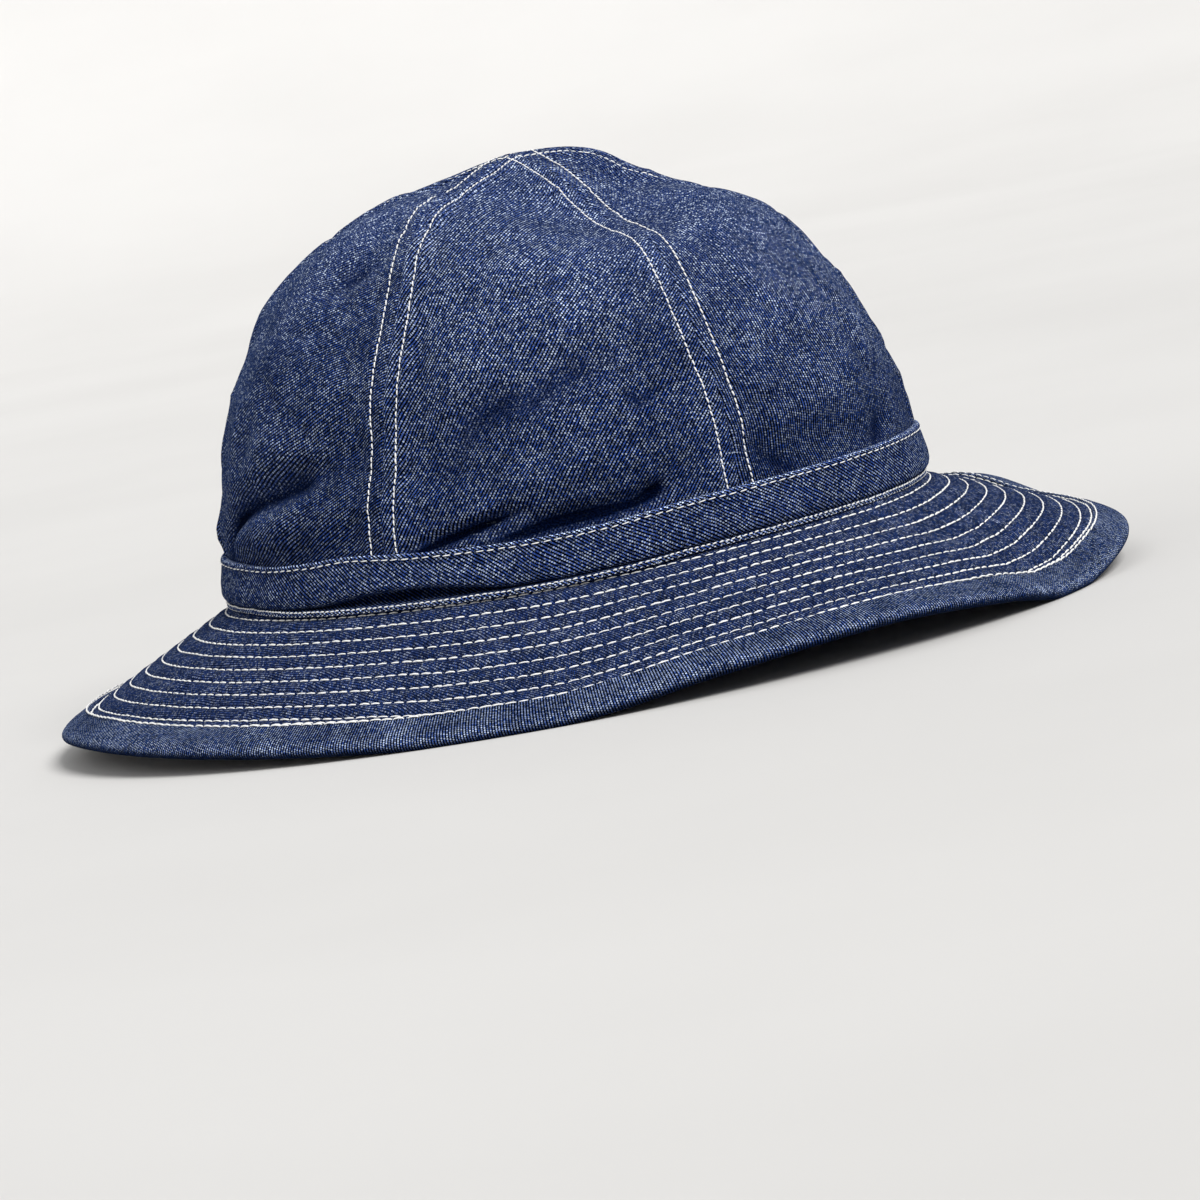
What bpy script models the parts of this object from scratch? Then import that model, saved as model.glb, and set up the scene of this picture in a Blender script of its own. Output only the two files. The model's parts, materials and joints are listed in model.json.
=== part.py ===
"""A six-panel denim sun hat: a soft domed crown, a hat band and a wide, row-stitched brim.

The front of the hat points along -Y, so that the wearer's left is at +X, and +Z is up. The origin is on
the floor under the middle of the hat, which rests on the edge of its brim. Each piece is one closed cloth
solid that follows the hat's curved surfaces, with a small gap to the pieces that it is sewn to.

Sizes below are in millimetres and angles in degrees. A turn of 0 is the front, 90 is the side at +X and
180 the back. The crown seam is where crown, band and brim meet; heights are measured up from its plane.
"""

import bpy
import numpy as np
from mathutils import Matrix

MM = 0.001

# Sizes of the whole hat
BASE_HALF_LENGTH = 98.8  # the crown's outer face at the crown seam, front to back
BASE_HALF_WIDTH = 84.5  # the same, side to side
SEAM_HEIGHT = 33.9  # the crown seam above the floor, at the front and back
SEAM_DIP = 2.0  # how much lower the crown seam runs at the two sides
APEX_SHIFT = 3.0  # how far behind the middle of the base the crown's apex stands
BRIM_SLANT = 61.0  # from the crown seam down to the edge of the brim

# Cloth
GAP = 0.3  # between two pieces
CLOTH = 1.2  # one layer of the crown and of the band
SEAM_LAYERS = 2.2  # a crown panel where its seam allowance is folded under it
ALLOWANCE = 7.5  # width of that allowance
ALLOWANCE_STEP = 1.5  # over which the wall thins from two layers to one
MOST_ALLOWANCE = 0.44  # of a panel's width, where panels narrow towards the apex
MOST_WITH_STEP = 0.46  # the same, with the step
PLY = 1.0  # one layer of the brim, or of its binding
BINDING_WIDTH = 10.5  # how far the binding reaches in from the edge of the brim
BRIM_TOP = PLY + GAP / 2  # the upper ply's outer face, above the middle of the brim
EDGE_RADIUS = BRIM_TOP + GAP + PLY  # half the thickness of the bound edge
PLY_END = BRIM_SLANT - EDGE_RADIUS
REST_DROP = SEAM_HEIGHT - 0.8  # how far the edge's middle can drop before its underside lies on the floor

# Mesh density
NORMAL_STEP = 0.05  # degrees, stations or millimetres either side of a point, to find a surface's normal
PANEL_COLUMNS = 12
PANEL_STATIONS = (0, 0.55, 1.03, 1.35, 1.8, 2.5, 3.3, 4.2, 5.1, 6.0, 6.9, 7.8, 8.7, 9.4, 9.96)
ROUND_STEPS = 72
BRIM_ROWS = 5

# The six crown seams: the turn of each, and which meridian of CROWN_STATIONS it follows
CROWN_SEAMS = (
    # turn, meridian
    (0.0, "front"),
    (55.5, "front_side"),
    (123.5, "back_side"),
    (180.0, "back"),
    (236.5, "back_side"),
    (304.5, "front_side"),
)

# The crown's meridians at evenly spaced stations from the crown seam up to the apex. A share is how much
# of the base's reach is left. Fullness is how far the cloth stands out midway between two seams.
CROWN_STATIONS = {
    # station      0     1     2     3     4     5     6     7     8      9      10
    "front_share": (1.0, 1.0, 0.985, 0.962, 0.912, 0.842, 0.756, 0.630, 0.466, 0.250, 0.0),
    "front_height": (0.0, 13.5, 28.0, 42.0, 56.0, 69.0, 81.5, 91.5, 99.6, 105.0, 110.0),
    "front_side_share": (1.0, 0.990, 0.953, 0.907, 0.857, 0.782, 0.697, 0.622, 0.497, 0.265, 0.0),
    "front_side_height": (0.0, 13.5, 28.0, 42.0, 56.0, 69.0, 81.0, 91.0, 99.0, 104.5, 110.0),
    "back_side_share": (1.0, 0.995, 0.985, 0.950, 0.887, 0.820, 0.735, 0.620, 0.465, 0.250, 0.0),
    "back_side_height": (0.0, 13.5, 28.0, 42.0, 56.0, 69.0, 80.5, 88.5, 95.5, 103.0, 110.0),
    "back_share": (1.0, 1.005, 0.982, 0.947, 0.891, 0.806, 0.710, 0.574, 0.403, 0.222, 0.0),
    "back_height": (0.0, 13.5, 28.0, 42.0, 55.0, 68.0, 80.0, 89.0, 97.0, 107.2, 110.0),
    "fullness": (0.0, 0.0, 1.0, 2.0, 2.5, 2.0, 1.5, 1.0, 0.5, 0.0, 0.0),
}
MERIDIAN = 155.0  # length of a meridian, from the crown seam to the apex
LAST_STATION = 10
BAND_STATION = 1.0  # the top of the band, below which the crown has no folds
BAND_FADE = 0.35  # stations above the band over which the folds reach their depth
APEX_FADE = 1.5  # stations below the apex over which they lose it
LEVEL_FROM = 8.6  # the station where the panels' thickness starts to turn upright
LEVEL_TO = 9.8  # and where it is upright, as all six meet at the apex

# Folds and dents of the crown. Along and across are the half-lengths of each, tilt turns its long axis up
# from level, and a depth below 0 is a hollow.
CROWN_FOLDS = (
    # turn, station, along, across, tilt, depth
    # the fold that climbs from the front of the band, with the cloth bulging under it
    (30.0, 2.30, 27.0, 6.5, 20.0, -3.0),
    (30.0, 1.60, 24.0, 7.5, 8.0, 3.2),
    (28.0, 3.10, 22.0, 8.0, 20.0, 1.2),
    (3.0, 1.55, 15.0, 6.5, 0.0, 1.8),
    # the cloth pushed in above the band on the side, and its roll over it
    (96.0, 1.25, 24.0, 5.5, 6.0, -2.2),
    (86.0, 1.85, 34.0, 7.0, 9.0, 2.6),
    # shallow creases higher on that side, and a hollow in front of its first seam
    (78.0, 3.15, 14.0, 6.0, 45.0, -1.6),
    (98.0, 3.60, 18.0, 6.5, 8.0, -1.5),
    (38.0, 6.60, 14.0, 9.0, 40.0, -2.0),
    # the crease over the band near the back
    (145.0, 1.55, 28.0, 6.5, -4.0, -1.8),
    (142.0, 2.40, 26.0, 8.0, 0.0, 1.2),
    # the top, sunk in behind the side's second seam, and pinched where it meets the back seam
    (122.0, 7.80, 26.0, 17.0, 10.0, -6.0),
    (158.0, 8.40, 14.0, 8.0, 60.0, -1.6),
    (175.0, 9.10, 12.0, 8.0, 0.0, 1.2),
    # the other side
    (325.0, 1.90, 26.0, 7.0, -14.0, -2.4),
    (318.0, 2.70, 24.0, 8.0, -14.0, 1.4),
    (282.0, 1.45, 30.0, 6.5, -4.0, -2.2),
    (276.0, 2.15, 34.0, 8.0, -6.0, 2.2),
    (250.0, 3.30, 18.0, 7.0, 35.0, -1.6),
    (222.0, 2.00, 26.0, 7.0, 10.0, -2.2),
    (238.0, 7.60, 24.0, 15.0, -8.0, -3.0),
)

# The outer face of the band, out from the crown behind it: a sewn ridge, then the fullness that sags over it
BAND_PROFILE = (
    # height, stand-out
    (0.3, 1.5),
    (3.2, 1.6),
    (5.5, 2.7),
    (9.5, 2.0),
    (13.5, 1.5),
)

# The edge of the brim, which waves as it goes round the hat. The floor stops it where it would drop lower.
BRIM_EDGE = (
    # turn, drop below the plane of the crown seam
    (0.0, 27.5),
    (20.0, 26.0),
    (45.0, 29.0),
    (60.0, 31.5),
    (80.0, 34.0),
    (92.0, 31.8),
    (105.0, 27.5),
    (125.0, 24.8),
    (142.0, 28.8),
    (155.0, 33.8),
    (168.0, 29.0),
    (180.0, 26.0),
    (205.0, 22.5),
    (218.0, 15.5),
    (232.0, 20.0),
    (250.0, 31.0),
    (265.0, 34.0),
    (285.0, 34.0),
    (305.0, 31.0),
    (330.0, 28.0),
)

# Finishes: name, linear colour, roughness
DENIM = ("denim", (0.050, 0.072, 0.150), 0.9)
BINDING_DENIM = ("binding_denim", (0.062, 0.095, 0.185), 0.9)

# Worked out from the tables above
SEAM_TURNS = np.array([turn for turn, _ in CROWN_SEAMS] + [360.0])
CROWN_HEIGHT = CROWN_STATIONS["front_height"][-1]


def smooth_through(values, where):
    """The curve through evenly spaced values (Catmull-Rom), read at fractional positions."""
    values = np.asarray(values, float)
    padded = np.concatenate(([2 * values[0] - values[1]], values, [2 * values[-1] - values[-2]]))
    index = np.clip(np.floor(where).astype(int), 0, len(values) - 2)
    t = where - index
    before, start, end, after = (padded[index + k] for k in range(4))
    bend = 2 * before - 5 * start + 4 * end - after
    turn_over = after - before + 3 * (start - end)
    return start + 0.5 * t * (end - before + t * (bend + t * turn_over))


def smooth_round(rows, turn):
    """The closed curve through (turn, value) rows, read at any turn."""
    turns = np.array([row[0] for row in rows])
    values = np.array([row[1] for row in rows])
    count = len(rows)
    turn = np.mod(turn, 360)
    index = np.searchsorted(turns, turn, side="right") - 1

    def knot(k):
        return turns[k % count] + 360 * np.floor_divide(k, count), values[k % count]

    (t0, v0), (t1, v1), (t2, v2), (t3, v3) = (knot(index + k) for k in (-1, 0, 1, 2))
    slope_start = (v2 - v0) / (t2 - t0) * (t2 - t1)
    slope_end = (v3 - v1) / (t3 - t1) * (t2 - t1)
    t = (turn - t1) / (t2 - t1)
    rise = t * t * (3 - 2 * t)
    return v1 + (v2 - v1) * rise + t * (1 - t) * (slope_start * (1 - t) - slope_end * t)


def turn_between(turn, centre):
    """The signed turn from centre, between -180 and 180."""
    return np.mod(turn - centre + 180, 360) - 180


def base_reach(turn):
    """How far the base oval lies from the middle."""
    angle = np.radians(turn)
    return 1 / np.hypot(np.sin(angle) / BASE_HALF_WIDTH, np.cos(angle) / BASE_HALF_LENGTH)


def seam_level(turn):
    """Height of the crown seam, which runs lower at the sides."""
    return -SEAM_DIP * np.sin(np.radians(turn)) ** 2


def place(turn, reach, height, shift=0.0):
    """A point at this reach from the middle, as an array whose last axis is x, y, z."""
    angle = np.radians(turn)
    return np.stack([reach * np.sin(angle), shift - reach * np.cos(angle), height], axis=-1)


def outward(surface, u, v):
    """The surface's unit normal at (u, v), on the side that u x v points to."""
    along_u = surface(u + NORMAL_STEP, v) - surface(u - NORMAL_STEP, v)
    along_v = surface(u, v + NORMAL_STEP) - surface(u, v - NORMAL_STEP)
    normal = np.cross(along_u, along_v)
    return normal / np.linalg.norm(normal, axis=-1, keepdims=True)


# Crown


def across_panel(turn):
    """The number of the panel at each turn, and how far across that panel the turn lies."""
    turn = np.mod(turn, 360)
    panel = np.searchsorted(SEAM_TURNS, turn, side="right") - 1
    return panel, (turn - SEAM_TURNS[panel]) / (SEAM_TURNS[panel + 1] - SEAM_TURNS[panel])


def on_meridians(quantity, turn, station):
    """A share or a height of CROWN_STATIONS, blended between the two seams of each panel."""
    panel, across = across_panel(turn)
    blend = across * across * (3 - 2 * across)
    at_seams = [smooth_through(CROWN_STATIONS[f"{name}_{quantity}"], station) for _, name in CROWN_SEAMS]
    at_seams = np.stack(at_seams + at_seams[:1])
    start = np.take_along_axis(at_seams, panel[None], axis=0)[0]
    end = np.take_along_axis(at_seams, panel[None] + 1, axis=0)[0]
    return start + (end - start) * blend


def crown_form(turn, station):
    """The crown's outer face without its fullness and folds."""
    turn, station = np.broadcast_arrays(np.asarray(turn, float), np.asarray(station, float))
    height = on_meridians("height", turn, station)
    reach = base_reach(turn) * on_meridians("share", turn, station)
    risen = height / CROWN_HEIGHT
    level = seam_level(turn) * (1 - risen)
    return place(turn, reach, height + level, APEX_SHIFT * risen)


def crown_relief(turn, station):
    """How far the crown stands out from its plain form: its fullness and folds, above the band."""
    _, across = across_panel(turn)
    relief = smooth_through(CROWN_STATIONS["fullness"], station) * np.sin(np.pi * across) ** 2
    reach = base_reach(turn) * on_meridians("share", turn, station)
    for centre, centre_station, along, wide, tilt, depth in CROWN_FOLDS:
        round_way = np.radians(turn_between(turn, centre)) * reach
        up_way = (station - centre_station) / LAST_STATION * MERIDIAN
        cos_tilt, sin_tilt = np.cos(np.radians(tilt)), np.sin(np.radians(tilt))
        lengthwise = (round_way * cos_tilt + up_way * sin_tilt) / along
        crosswise = (up_way * cos_tilt - round_way * sin_tilt) / wide
        relief = relief + depth * np.exp(-(lengthwise**2) - crosswise**2)
    above_band = np.clip((station - BAND_STATION) / BAND_FADE, 0, 1)
    below_apex = np.clip((LAST_STATION - station) / APEX_FADE, 0, 1)
    return relief * above_band * below_apex


def crown_surface(turn, station):
    """The crown's outer face."""
    turn, station = np.broadcast_arrays(np.asarray(turn, float), np.asarray(station, float))
    relief = crown_relief(turn, station)[..., None]
    return crown_form(turn, station) + relief * outward(crown_form, turn, station)


def panel_grid(number):
    """Turns, stations and wall thicknesses of one panel's grid, rows going up."""
    start, end = SEAM_TURNS[number : number + 2]
    stations = np.array(PANEL_STATIONS)[:, None]
    middle = (start + end) / 2
    width = np.radians(end - start) * np.linalg.norm(crown_form(middle, stations)[..., :2], axis=-1)
    edge = 0.5 * GAP / width
    fold = np.minimum(ALLOWANCE / width, MOST_ALLOWANCE)
    step = np.minimum((ALLOWANCE + ALLOWANCE_STEP) / width, MOST_WITH_STEP)
    inner = np.linspace(0, 1, PANEL_COLUMNS - 3)[None, :]
    across = np.concatenate([edge, fold, step + (1 - 2 * step) * inner, 1 - fold, 1 - edge], axis=1)
    thick = np.full(across.shape, CLOTH)
    thick[:, :2] = SEAM_LAYERS
    thick[:, -2:] = SEAM_LAYERS
    return start + (end - start) * across, np.broadcast_to(stations, across.shape), thick


def panel_normals(number, turns, stations):
    """The direction of a panel's thickness: the surface's normal, kept in the seam's plane at both edges."""
    normal = outward(crown_surface, turns, stations)
    to_apex = np.clip((stations - LEVEL_FROM) / (LEVEL_TO - LEVEL_FROM), 0, 1)[..., None]
    normal = normal + (np.array([0, 0, 1]) - normal) * to_apex
    for column, seam in ((0, number), (-1, number + 1)):
        angle = np.radians(SEAM_TURNS[seam])
        aside = np.array([np.cos(angle), np.sin(angle), 0])
        normal[:, column] -= (normal[:, column] @ aside)[:, None] * aside
    return normal / np.linalg.norm(normal, axis=-1, keepdims=True)


def crown_panel(number):
    """One of the crown's six panels, its lower edge standing level on the brim."""
    turns, stations, thick = panel_grid(number)
    outer = crown_surface(turns, stations)
    inner = outer - thick[..., None] * panel_normals(number, turns, stations)
    bottom = seam_level(turns[0])[:, None] + GAP
    outer[0, :, 2:] = bottom
    inner[0, :, 2:] = bottom
    return sheet_solid(f"crown_panel_{number + 1}", outer, inner)


def crown_band():
    """The strip sewn round the foot of the crown."""
    turns = np.linspace(0, 360, ROUND_STEPS, endpoint=False)[None, :]
    heights, stand_outs = (np.array(column)[:, None] for column in zip(*BAND_PROFILE))
    stations = BAND_STATION * heights / BAND_PROFILE[-1][0]
    form = crown_form(turns, stations)
    normal = outward(crown_form, turns, stations)
    outer = form + stand_outs[..., None] * normal
    inner = outer - CLOTH * normal
    outer[0, :, 2] = seam_level(turns[0]) + GAP
    inner[0, :, 2] = seam_level(turns[0]) + GAP
    return sheet_solid("crown_band", outer, inner, closed=True)


# Brim


def brim_surface(turn, slant):
    """The middle of the brim's thickness, this far down the slant, and level where it is under the crown."""
    turn, slant = np.broadcast_arrays(np.asarray(turn, float), np.asarray(slant, float))
    start = seam_level(turn) - BRIM_TOP
    drop = np.minimum(smooth_round(BRIM_EDGE, turn), REST_DROP)
    slope = np.arcsin((drop + start) / BRIM_SLANT)
    run = np.where(slant > 0, slant * np.cos(slope), slant)
    fall = np.where(slant > 0, slant * np.sin(slope), 0)
    return place(turn, base_reach(turn) + run, start - fall)


def brim_layer(turn, slant, offset):
    """The brim at this offset above the middle of its thickness."""
    turn, slant = np.broadcast_arrays(np.asarray(turn, float), np.asarray(slant, float))
    downward = outward(brim_surface, turn, slant)
    return brim_surface(turn, slant) - np.asarray(offset)[..., None] * downward


def brim_ply(name, top, bottom):
    """One ply of the brim, from under the crown to inside the binding."""
    turns = np.linspace(0, 360, ROUND_STEPS, endpoint=False)[None, :]
    slants = np.append(np.linspace(PLY_END, 0, BRIM_ROWS), -SEAM_LAYERS)[:, None]
    return sheet_solid(name, brim_layer(turns, slants, top), brim_layer(turns, slants, bottom), closed=True)


def brim_binding():
    """The strip folded round the edge: its two legs joined by a half-round bend."""
    leg = BINDING_WIDTH - EDGE_RADIUS

    def folded(radius, angles):
        """Points (past the plies' edge, above their middle) of a strip bent at this radius."""
        bend = [(radius * np.cos(np.radians(a)), radius * np.sin(np.radians(a))) for a in angles]
        return [(-leg, radius), *bend, (-leg, -radius)]

    outer = folded(EDGE_RADIUS, (90, 30, 0, -30, -90))
    inner = folded(EDGE_RADIUS - PLY, (90, 0, -90))
    path = np.array(outer + inner[::-1])
    turns = np.linspace(0, 360, ROUND_STEPS, endpoint=False)[None, :]
    points = brim_layer(turns, PLY_END + path[:, :1], path[:, 1:])
    return ring_solid("brim_binding", points)


# Meshes


def add_object(name, points, faces, finish):
    """A mesh object from points in the crown seam's frame, pressed flat where they meet the floor."""
    points = np.array(points)
    points[:, 2] = np.maximum(points[:, 2] + SEAM_HEIGHT, 0)
    mesh = bpy.data.meshes.new(name)
    mesh.from_pydata((points * MM).tolist(), [], faces)
    mesh.shade_smooth()
    mesh.set_sharp_from_angle(angle=np.radians(50))
    mesh.materials.append(cloth_material(*finish))
    obj = bpy.data.objects.new(name, mesh)
    bpy.context.scene.collection.objects.link(obj)
    return obj


def sheet_solid(name, outer, inner, closed=False):
    """A solid between two grids of points, open at its sides or closed into a ring."""
    rows, columns = outer.shape[:2]
    points = np.concatenate([outer.reshape(-1, 3), inner.reshape(-1, 3)])
    top = rows - 1
    last = columns if closed else columns - 1

    def at(layer, row, column):
        return (layer * rows + row) * columns + column % columns

    faces = []
    for column in range(last):
        beside = column + 1
        for row in range(top):
            up = row + 1
            faces.append((at(0, row, column), at(0, row, beside), at(0, up, beside), at(0, up, column)))
            faces.append((at(1, row, column), at(1, up, column), at(1, up, beside), at(1, row, beside)))
        faces.append((at(0, 0, beside), at(0, 0, column), at(1, 0, column), at(1, 0, beside)))
        faces.append((at(0, top, column), at(0, top, beside), at(1, top, beside), at(1, top, column)))
    if not closed:
        end = columns - 1
        for row in range(top):
            up = row + 1
            faces.append((at(0, row, 0), at(0, up, 0), at(1, up, 0), at(1, row, 0)))
            faces.append((at(0, up, end), at(0, row, end), at(1, row, end), at(1, up, end)))
    return add_object(name, points, faces, DENIM)


def ring_solid(name, points):
    """A closed section carried round the hat: rows go round the section, columns round the hat."""
    rows, columns = points.shape[:2]
    faces = []
    for row in range(rows):
        for column in range(columns):
            next_row, next_column = (row + 1) % rows, (column + 1) % columns
            corners = ((row, column), (next_row, column), (next_row, next_column), (row, next_column))
            faces.append([r * columns + c for r, c in corners])
    return add_object(name, points.reshape(-1, 3), faces, BINDING_DENIM)


def cloth_material(name, colour, roughness):
    """The material of this name, made when a piece first asks for it."""
    material = bpy.data.materials.get(name) or bpy.data.materials.new(name)
    material.use_nodes = True
    shader = material.node_tree.nodes["Principled BSDF"]
    shader.inputs["Base Color"].default_value = (*colour, 1)
    shader.inputs["Roughness"].default_value = roughness
    shader.inputs["Metallic"].default_value = 0.0
    return material


def centre_over_origin(pieces):
    """Moves the pieces together, so that the middle of their outline from above is at the origin."""
    points = np.array([vertex.co for piece in pieces for vertex in piece.data.vertices])
    middle = (points.min(axis=0) + points.max(axis=0)) / 2
    for piece in pieces:
        piece.data.transform(Matrix.Translation((-middle[0], -middle[1], 0)))


def main():
    for obj in list(bpy.data.objects):
        bpy.data.objects.remove(obj)
    pieces = [crown_panel(number) for number in range(len(CROWN_SEAMS))]
    pieces.append(crown_band())
    pieces.append(brim_ply("brim_upper", BRIM_TOP, GAP / 2))
    pieces.append(brim_ply("brim_under", -GAP / 2, -BRIM_TOP))
    pieces.append(brim_binding())
    centre_over_origin(pieces)


main()
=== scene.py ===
"""The denim sun hat as it looks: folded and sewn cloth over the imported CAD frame, with every stitch.

Sizes are in millimetres and angles in degrees, in the crown seam's frame, as in the part's source: a turn
of 0 is the front, 90 is the side at +X, and heights are measured up from the plane of the crown seam. A
station is a tenth of the way up the crown from that seam, and a slant is a distance down the brim from it.
Each surface repeats the source's form and adds its folds, seams, channels and puckers to it.
"""

import json

import bpy
import numpy as np
from mathutils import Matrix

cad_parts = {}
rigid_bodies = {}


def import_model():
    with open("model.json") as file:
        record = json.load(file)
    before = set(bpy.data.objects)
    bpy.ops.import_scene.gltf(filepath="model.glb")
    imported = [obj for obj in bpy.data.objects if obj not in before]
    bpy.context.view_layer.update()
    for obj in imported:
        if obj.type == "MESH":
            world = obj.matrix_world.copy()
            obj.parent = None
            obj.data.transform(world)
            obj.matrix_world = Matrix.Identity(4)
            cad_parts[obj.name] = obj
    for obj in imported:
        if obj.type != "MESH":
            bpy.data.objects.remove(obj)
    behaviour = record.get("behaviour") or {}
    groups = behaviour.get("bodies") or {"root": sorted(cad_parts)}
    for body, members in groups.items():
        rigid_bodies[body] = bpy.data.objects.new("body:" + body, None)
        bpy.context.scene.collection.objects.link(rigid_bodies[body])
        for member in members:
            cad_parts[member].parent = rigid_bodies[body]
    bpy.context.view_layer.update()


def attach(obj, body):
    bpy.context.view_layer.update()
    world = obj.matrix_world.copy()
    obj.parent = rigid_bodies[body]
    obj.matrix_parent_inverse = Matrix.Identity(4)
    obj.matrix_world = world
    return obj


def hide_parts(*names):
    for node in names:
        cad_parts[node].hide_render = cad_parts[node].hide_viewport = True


for startup_object in list(bpy.data.objects):
    bpy.data.objects.remove(startup_object)
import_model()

MM = 0.001

# Sizes of the whole hat, as in the source
BASE_HALF_LENGTH = 98.8  # of the oval where the crown meets the brim
BASE_HALF_WIDTH = 84.5
SEAM_HEIGHT = 33.9  # the crown seam's plane above the floor
SEAM_DIP = 2.0  # how much lower the seam runs at the sides
APEX_SHIFT = 3.0  # how far the apex lies behind the middle
BRIM_SLANT = 61.0
BRIM_TOP = 1.15  # half the thickness of the brim's two plies
EDGE_RADIUS = 2.45  # of the binding, where it goes round the brim's edge
PLY_END = BRIM_SLANT - EDGE_RADIUS
REST_DROP = SEAM_HEIGHT - 0.8  # the lowest that the brim's edge can hang, which is on the floor
BINDING_WIDTH = 10.5  # from its folded edge on the brim to the outline
CLOTH = 1.2  # thickness of the crown's cloth
SEAM_LAYERS = 2.2  # and where a seam allowance is folded under it
LAST_STATION = 10
STATION_MM = 15.5  # from one station to the next
BAND_STATION = 1.0  # where the band's top lies
BAND_FADE = 0.35  # stations above the band over which the folds start
APEX_FADE = 1.5  # stations below the apex over which they end
BAND_HEIGHT = 13.5  # of the crown at that station
NORMAL_STEP = 0.05  # for working out how a surface faces
PLIES_APART = 0.15  # half the space between the brim's plies

CROWN_SEAMS = (
    # turn, meridian
    (0.0, "front"),
    (55.5, "front_side"),
    (123.5, "back_side"),
    (180.0, "back"),
    (236.5, "back_side"),
    (304.5, "front_side"),
)

CROWN_STATIONS = {
    # station      0     1     2     3     4     5     6     7     8      9      10
    "front_share": (1.0, 1.0, 0.985, 0.962, 0.912, 0.842, 0.756, 0.630, 0.466, 0.250, 0.0),
    "front_height": (0.0, 13.5, 28.0, 42.0, 56.0, 69.0, 81.5, 91.5, 99.6, 105.0, 110.0),
    "front_side_share": (1.0, 0.990, 0.953, 0.907, 0.857, 0.782, 0.697, 0.622, 0.497, 0.265, 0.0),
    "front_side_height": (0.0, 13.5, 28.0, 42.0, 56.0, 69.0, 81.0, 91.0, 99.0, 104.5, 110.0),
    "back_side_share": (1.0, 0.995, 0.985, 0.950, 0.887, 0.820, 0.735, 0.620, 0.465, 0.250, 0.0),
    "back_side_height": (0.0, 13.5, 28.0, 42.0, 56.0, 69.0, 80.5, 88.5, 95.5, 103.0, 110.0),
    "back_share": (1.0, 1.005, 0.982, 0.947, 0.891, 0.806, 0.710, 0.574, 0.403, 0.222, 0.0),
    "back_height": (0.0, 13.5, 28.0, 42.0, 55.0, 68.0, 80.0, 89.0, 97.0, 107.2, 110.0),
    "fullness": (0.0, 0.0, 1.0, 2.0, 2.5, 2.0, 1.5, 1.0, 0.5, 0.0, 0.0),
}

# Broad folds and dents, as in the source
CROWN_FOLDS = (
    # turn, station, along, across, tilt, depth
    (30, 2.3, 27, 6.5, 20, -3),
    (30, 1.6, 24, 7.5, 8, 3.2),
    (28, 3.1, 22, 8, 20, 1.2),
    (3, 1.55, 15, 6.5, 0, 1.8),
    (96, 1.25, 24, 5.5, 6, -2.2),
    (86, 1.85, 34, 7, 9, 2.6),
    (78, 3.15, 14, 6, 45, -1.6),
    (98, 3.6, 18, 6.5, 8, -1.5),
    (38, 6.6, 14, 9, 40, -2),
    (145, 1.55, 28, 6.5, -4, -1.8),
    (142, 2.4, 26, 8, 0, 1.2),
    (122, 7.8, 26, 17, 10, -6),
    (158, 8.4, 14, 8, 60, -1.6),
    (175, 9.1, 12, 8, 0, 1.2),
    (325, 1.9, 26, 7, -14, -2.4),
    (318, 2.7, 24, 8, -14, 1.4),
    (282, 1.45, 30, 6.5, -4, -2.2),
    (276, 2.15, 34, 8, -6, 2.2),
    (250, 3.3, 18, 7, 35, -1.6),
    (222, 2, 26, 7, 10, -2.2),
    (238, 7.6, 24, 15, -8, -3),
)

# Creases in those folds: paths over the crown, how deep and wide each valley is, and how high the cloth
# rolls beside it, above the valley or, where the roll is below 0, under it
CREASES = (
    # depth, half-width, roll, path of (turn, station)
    (2.5, 3.2, -1.1, (12, 0.8), (12, 1.1), (12, 1.35), (13, 1.55), (15, 1.75), (18, 1.92), (22, 2.06),
     (28, 2.22), (36, 2.45)),
    (1.1, 4.5, -0.5, (24, 2.15), (36, 2.4), (48, 2.7)),
    (1, 5, -0.3, (14, 0.75), (15, 1), (15.5, 1.3), (16, 1.65), (18, 1.85)),
    (4.2, 1.7, 1.2, (59, 0.9), (62, 0.97), (65, 1.05), (69, 1.15), (73, 1.24), (77, 1.33), (80, 1.38),
     (84, 1.4)),
    (4.2, 2.3, 1.4, (75, 0.93), (80, 1.01), (84, 1.07), (88, 1.13), (93, 1.15), (98, 1.16), (103, 1.17),
     (108, 1.3)),
    (1.9, 2.4, -0.5, (104, 1.22), (108, 1.36), (111, 1.62)),
    (1.6, 4.4, -0.6, (70, 2.4), (72, 2.7), (75, 3.05), (79, 3.35), (83, 3.38), (88, 3.35), (93, 3.6),
     (99, 3.8), (105, 3.85)),
    (1.6, 2.2, -0.8, (106, 3.3), (108, 2.95), (112, 3.1)),
    (1.2, 1.8, -0.5, (113, 4.65), (114, 4.25)),
    (1.5, 3.2, -0.4, (128, 1.75), (131, 1.4), (133, 1.2), (137, 1)),
    (1.7, 3.6, -0.5, (153, 0.95), (158, 1.25), (162, 1.7)),
    (1.8, 4, -0.6, (33, 6.35), (40, 6.65), (46, 7)),
    (1.4, 2.2, -0.5, (157, 8.85), (159, 8.2)),
    (1.2, 3.5, -0.4, (23, 3.5), (19, 2.8)),
    (1.2, 3.2, -0.5, (190, 2.6), (198, 2.9), (204, 3.5)),
    (2, 2.4, -0.8, (214, 1.35), (222, 1.6), (231, 1.75)),
    (1.4, 3, -0.6, (246, 3), (252, 3.4), (258, 3.3)),
    (2.8, 2.2, 1, (262, 1.2), (272, 1.3), (282, 1.45), (292, 1.65)),
    (2.2, 2.6, -0.9, (316, 1.6), (324, 1.75), (331, 2), (338, 2.4)),
)
ROLL_OFFSET = 2.0  # from the valley to the middle of its roll, in half-widths
CREASE_ENDS = (0.06, 0.94)  # the shares of the path where its strength stops changing

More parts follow.
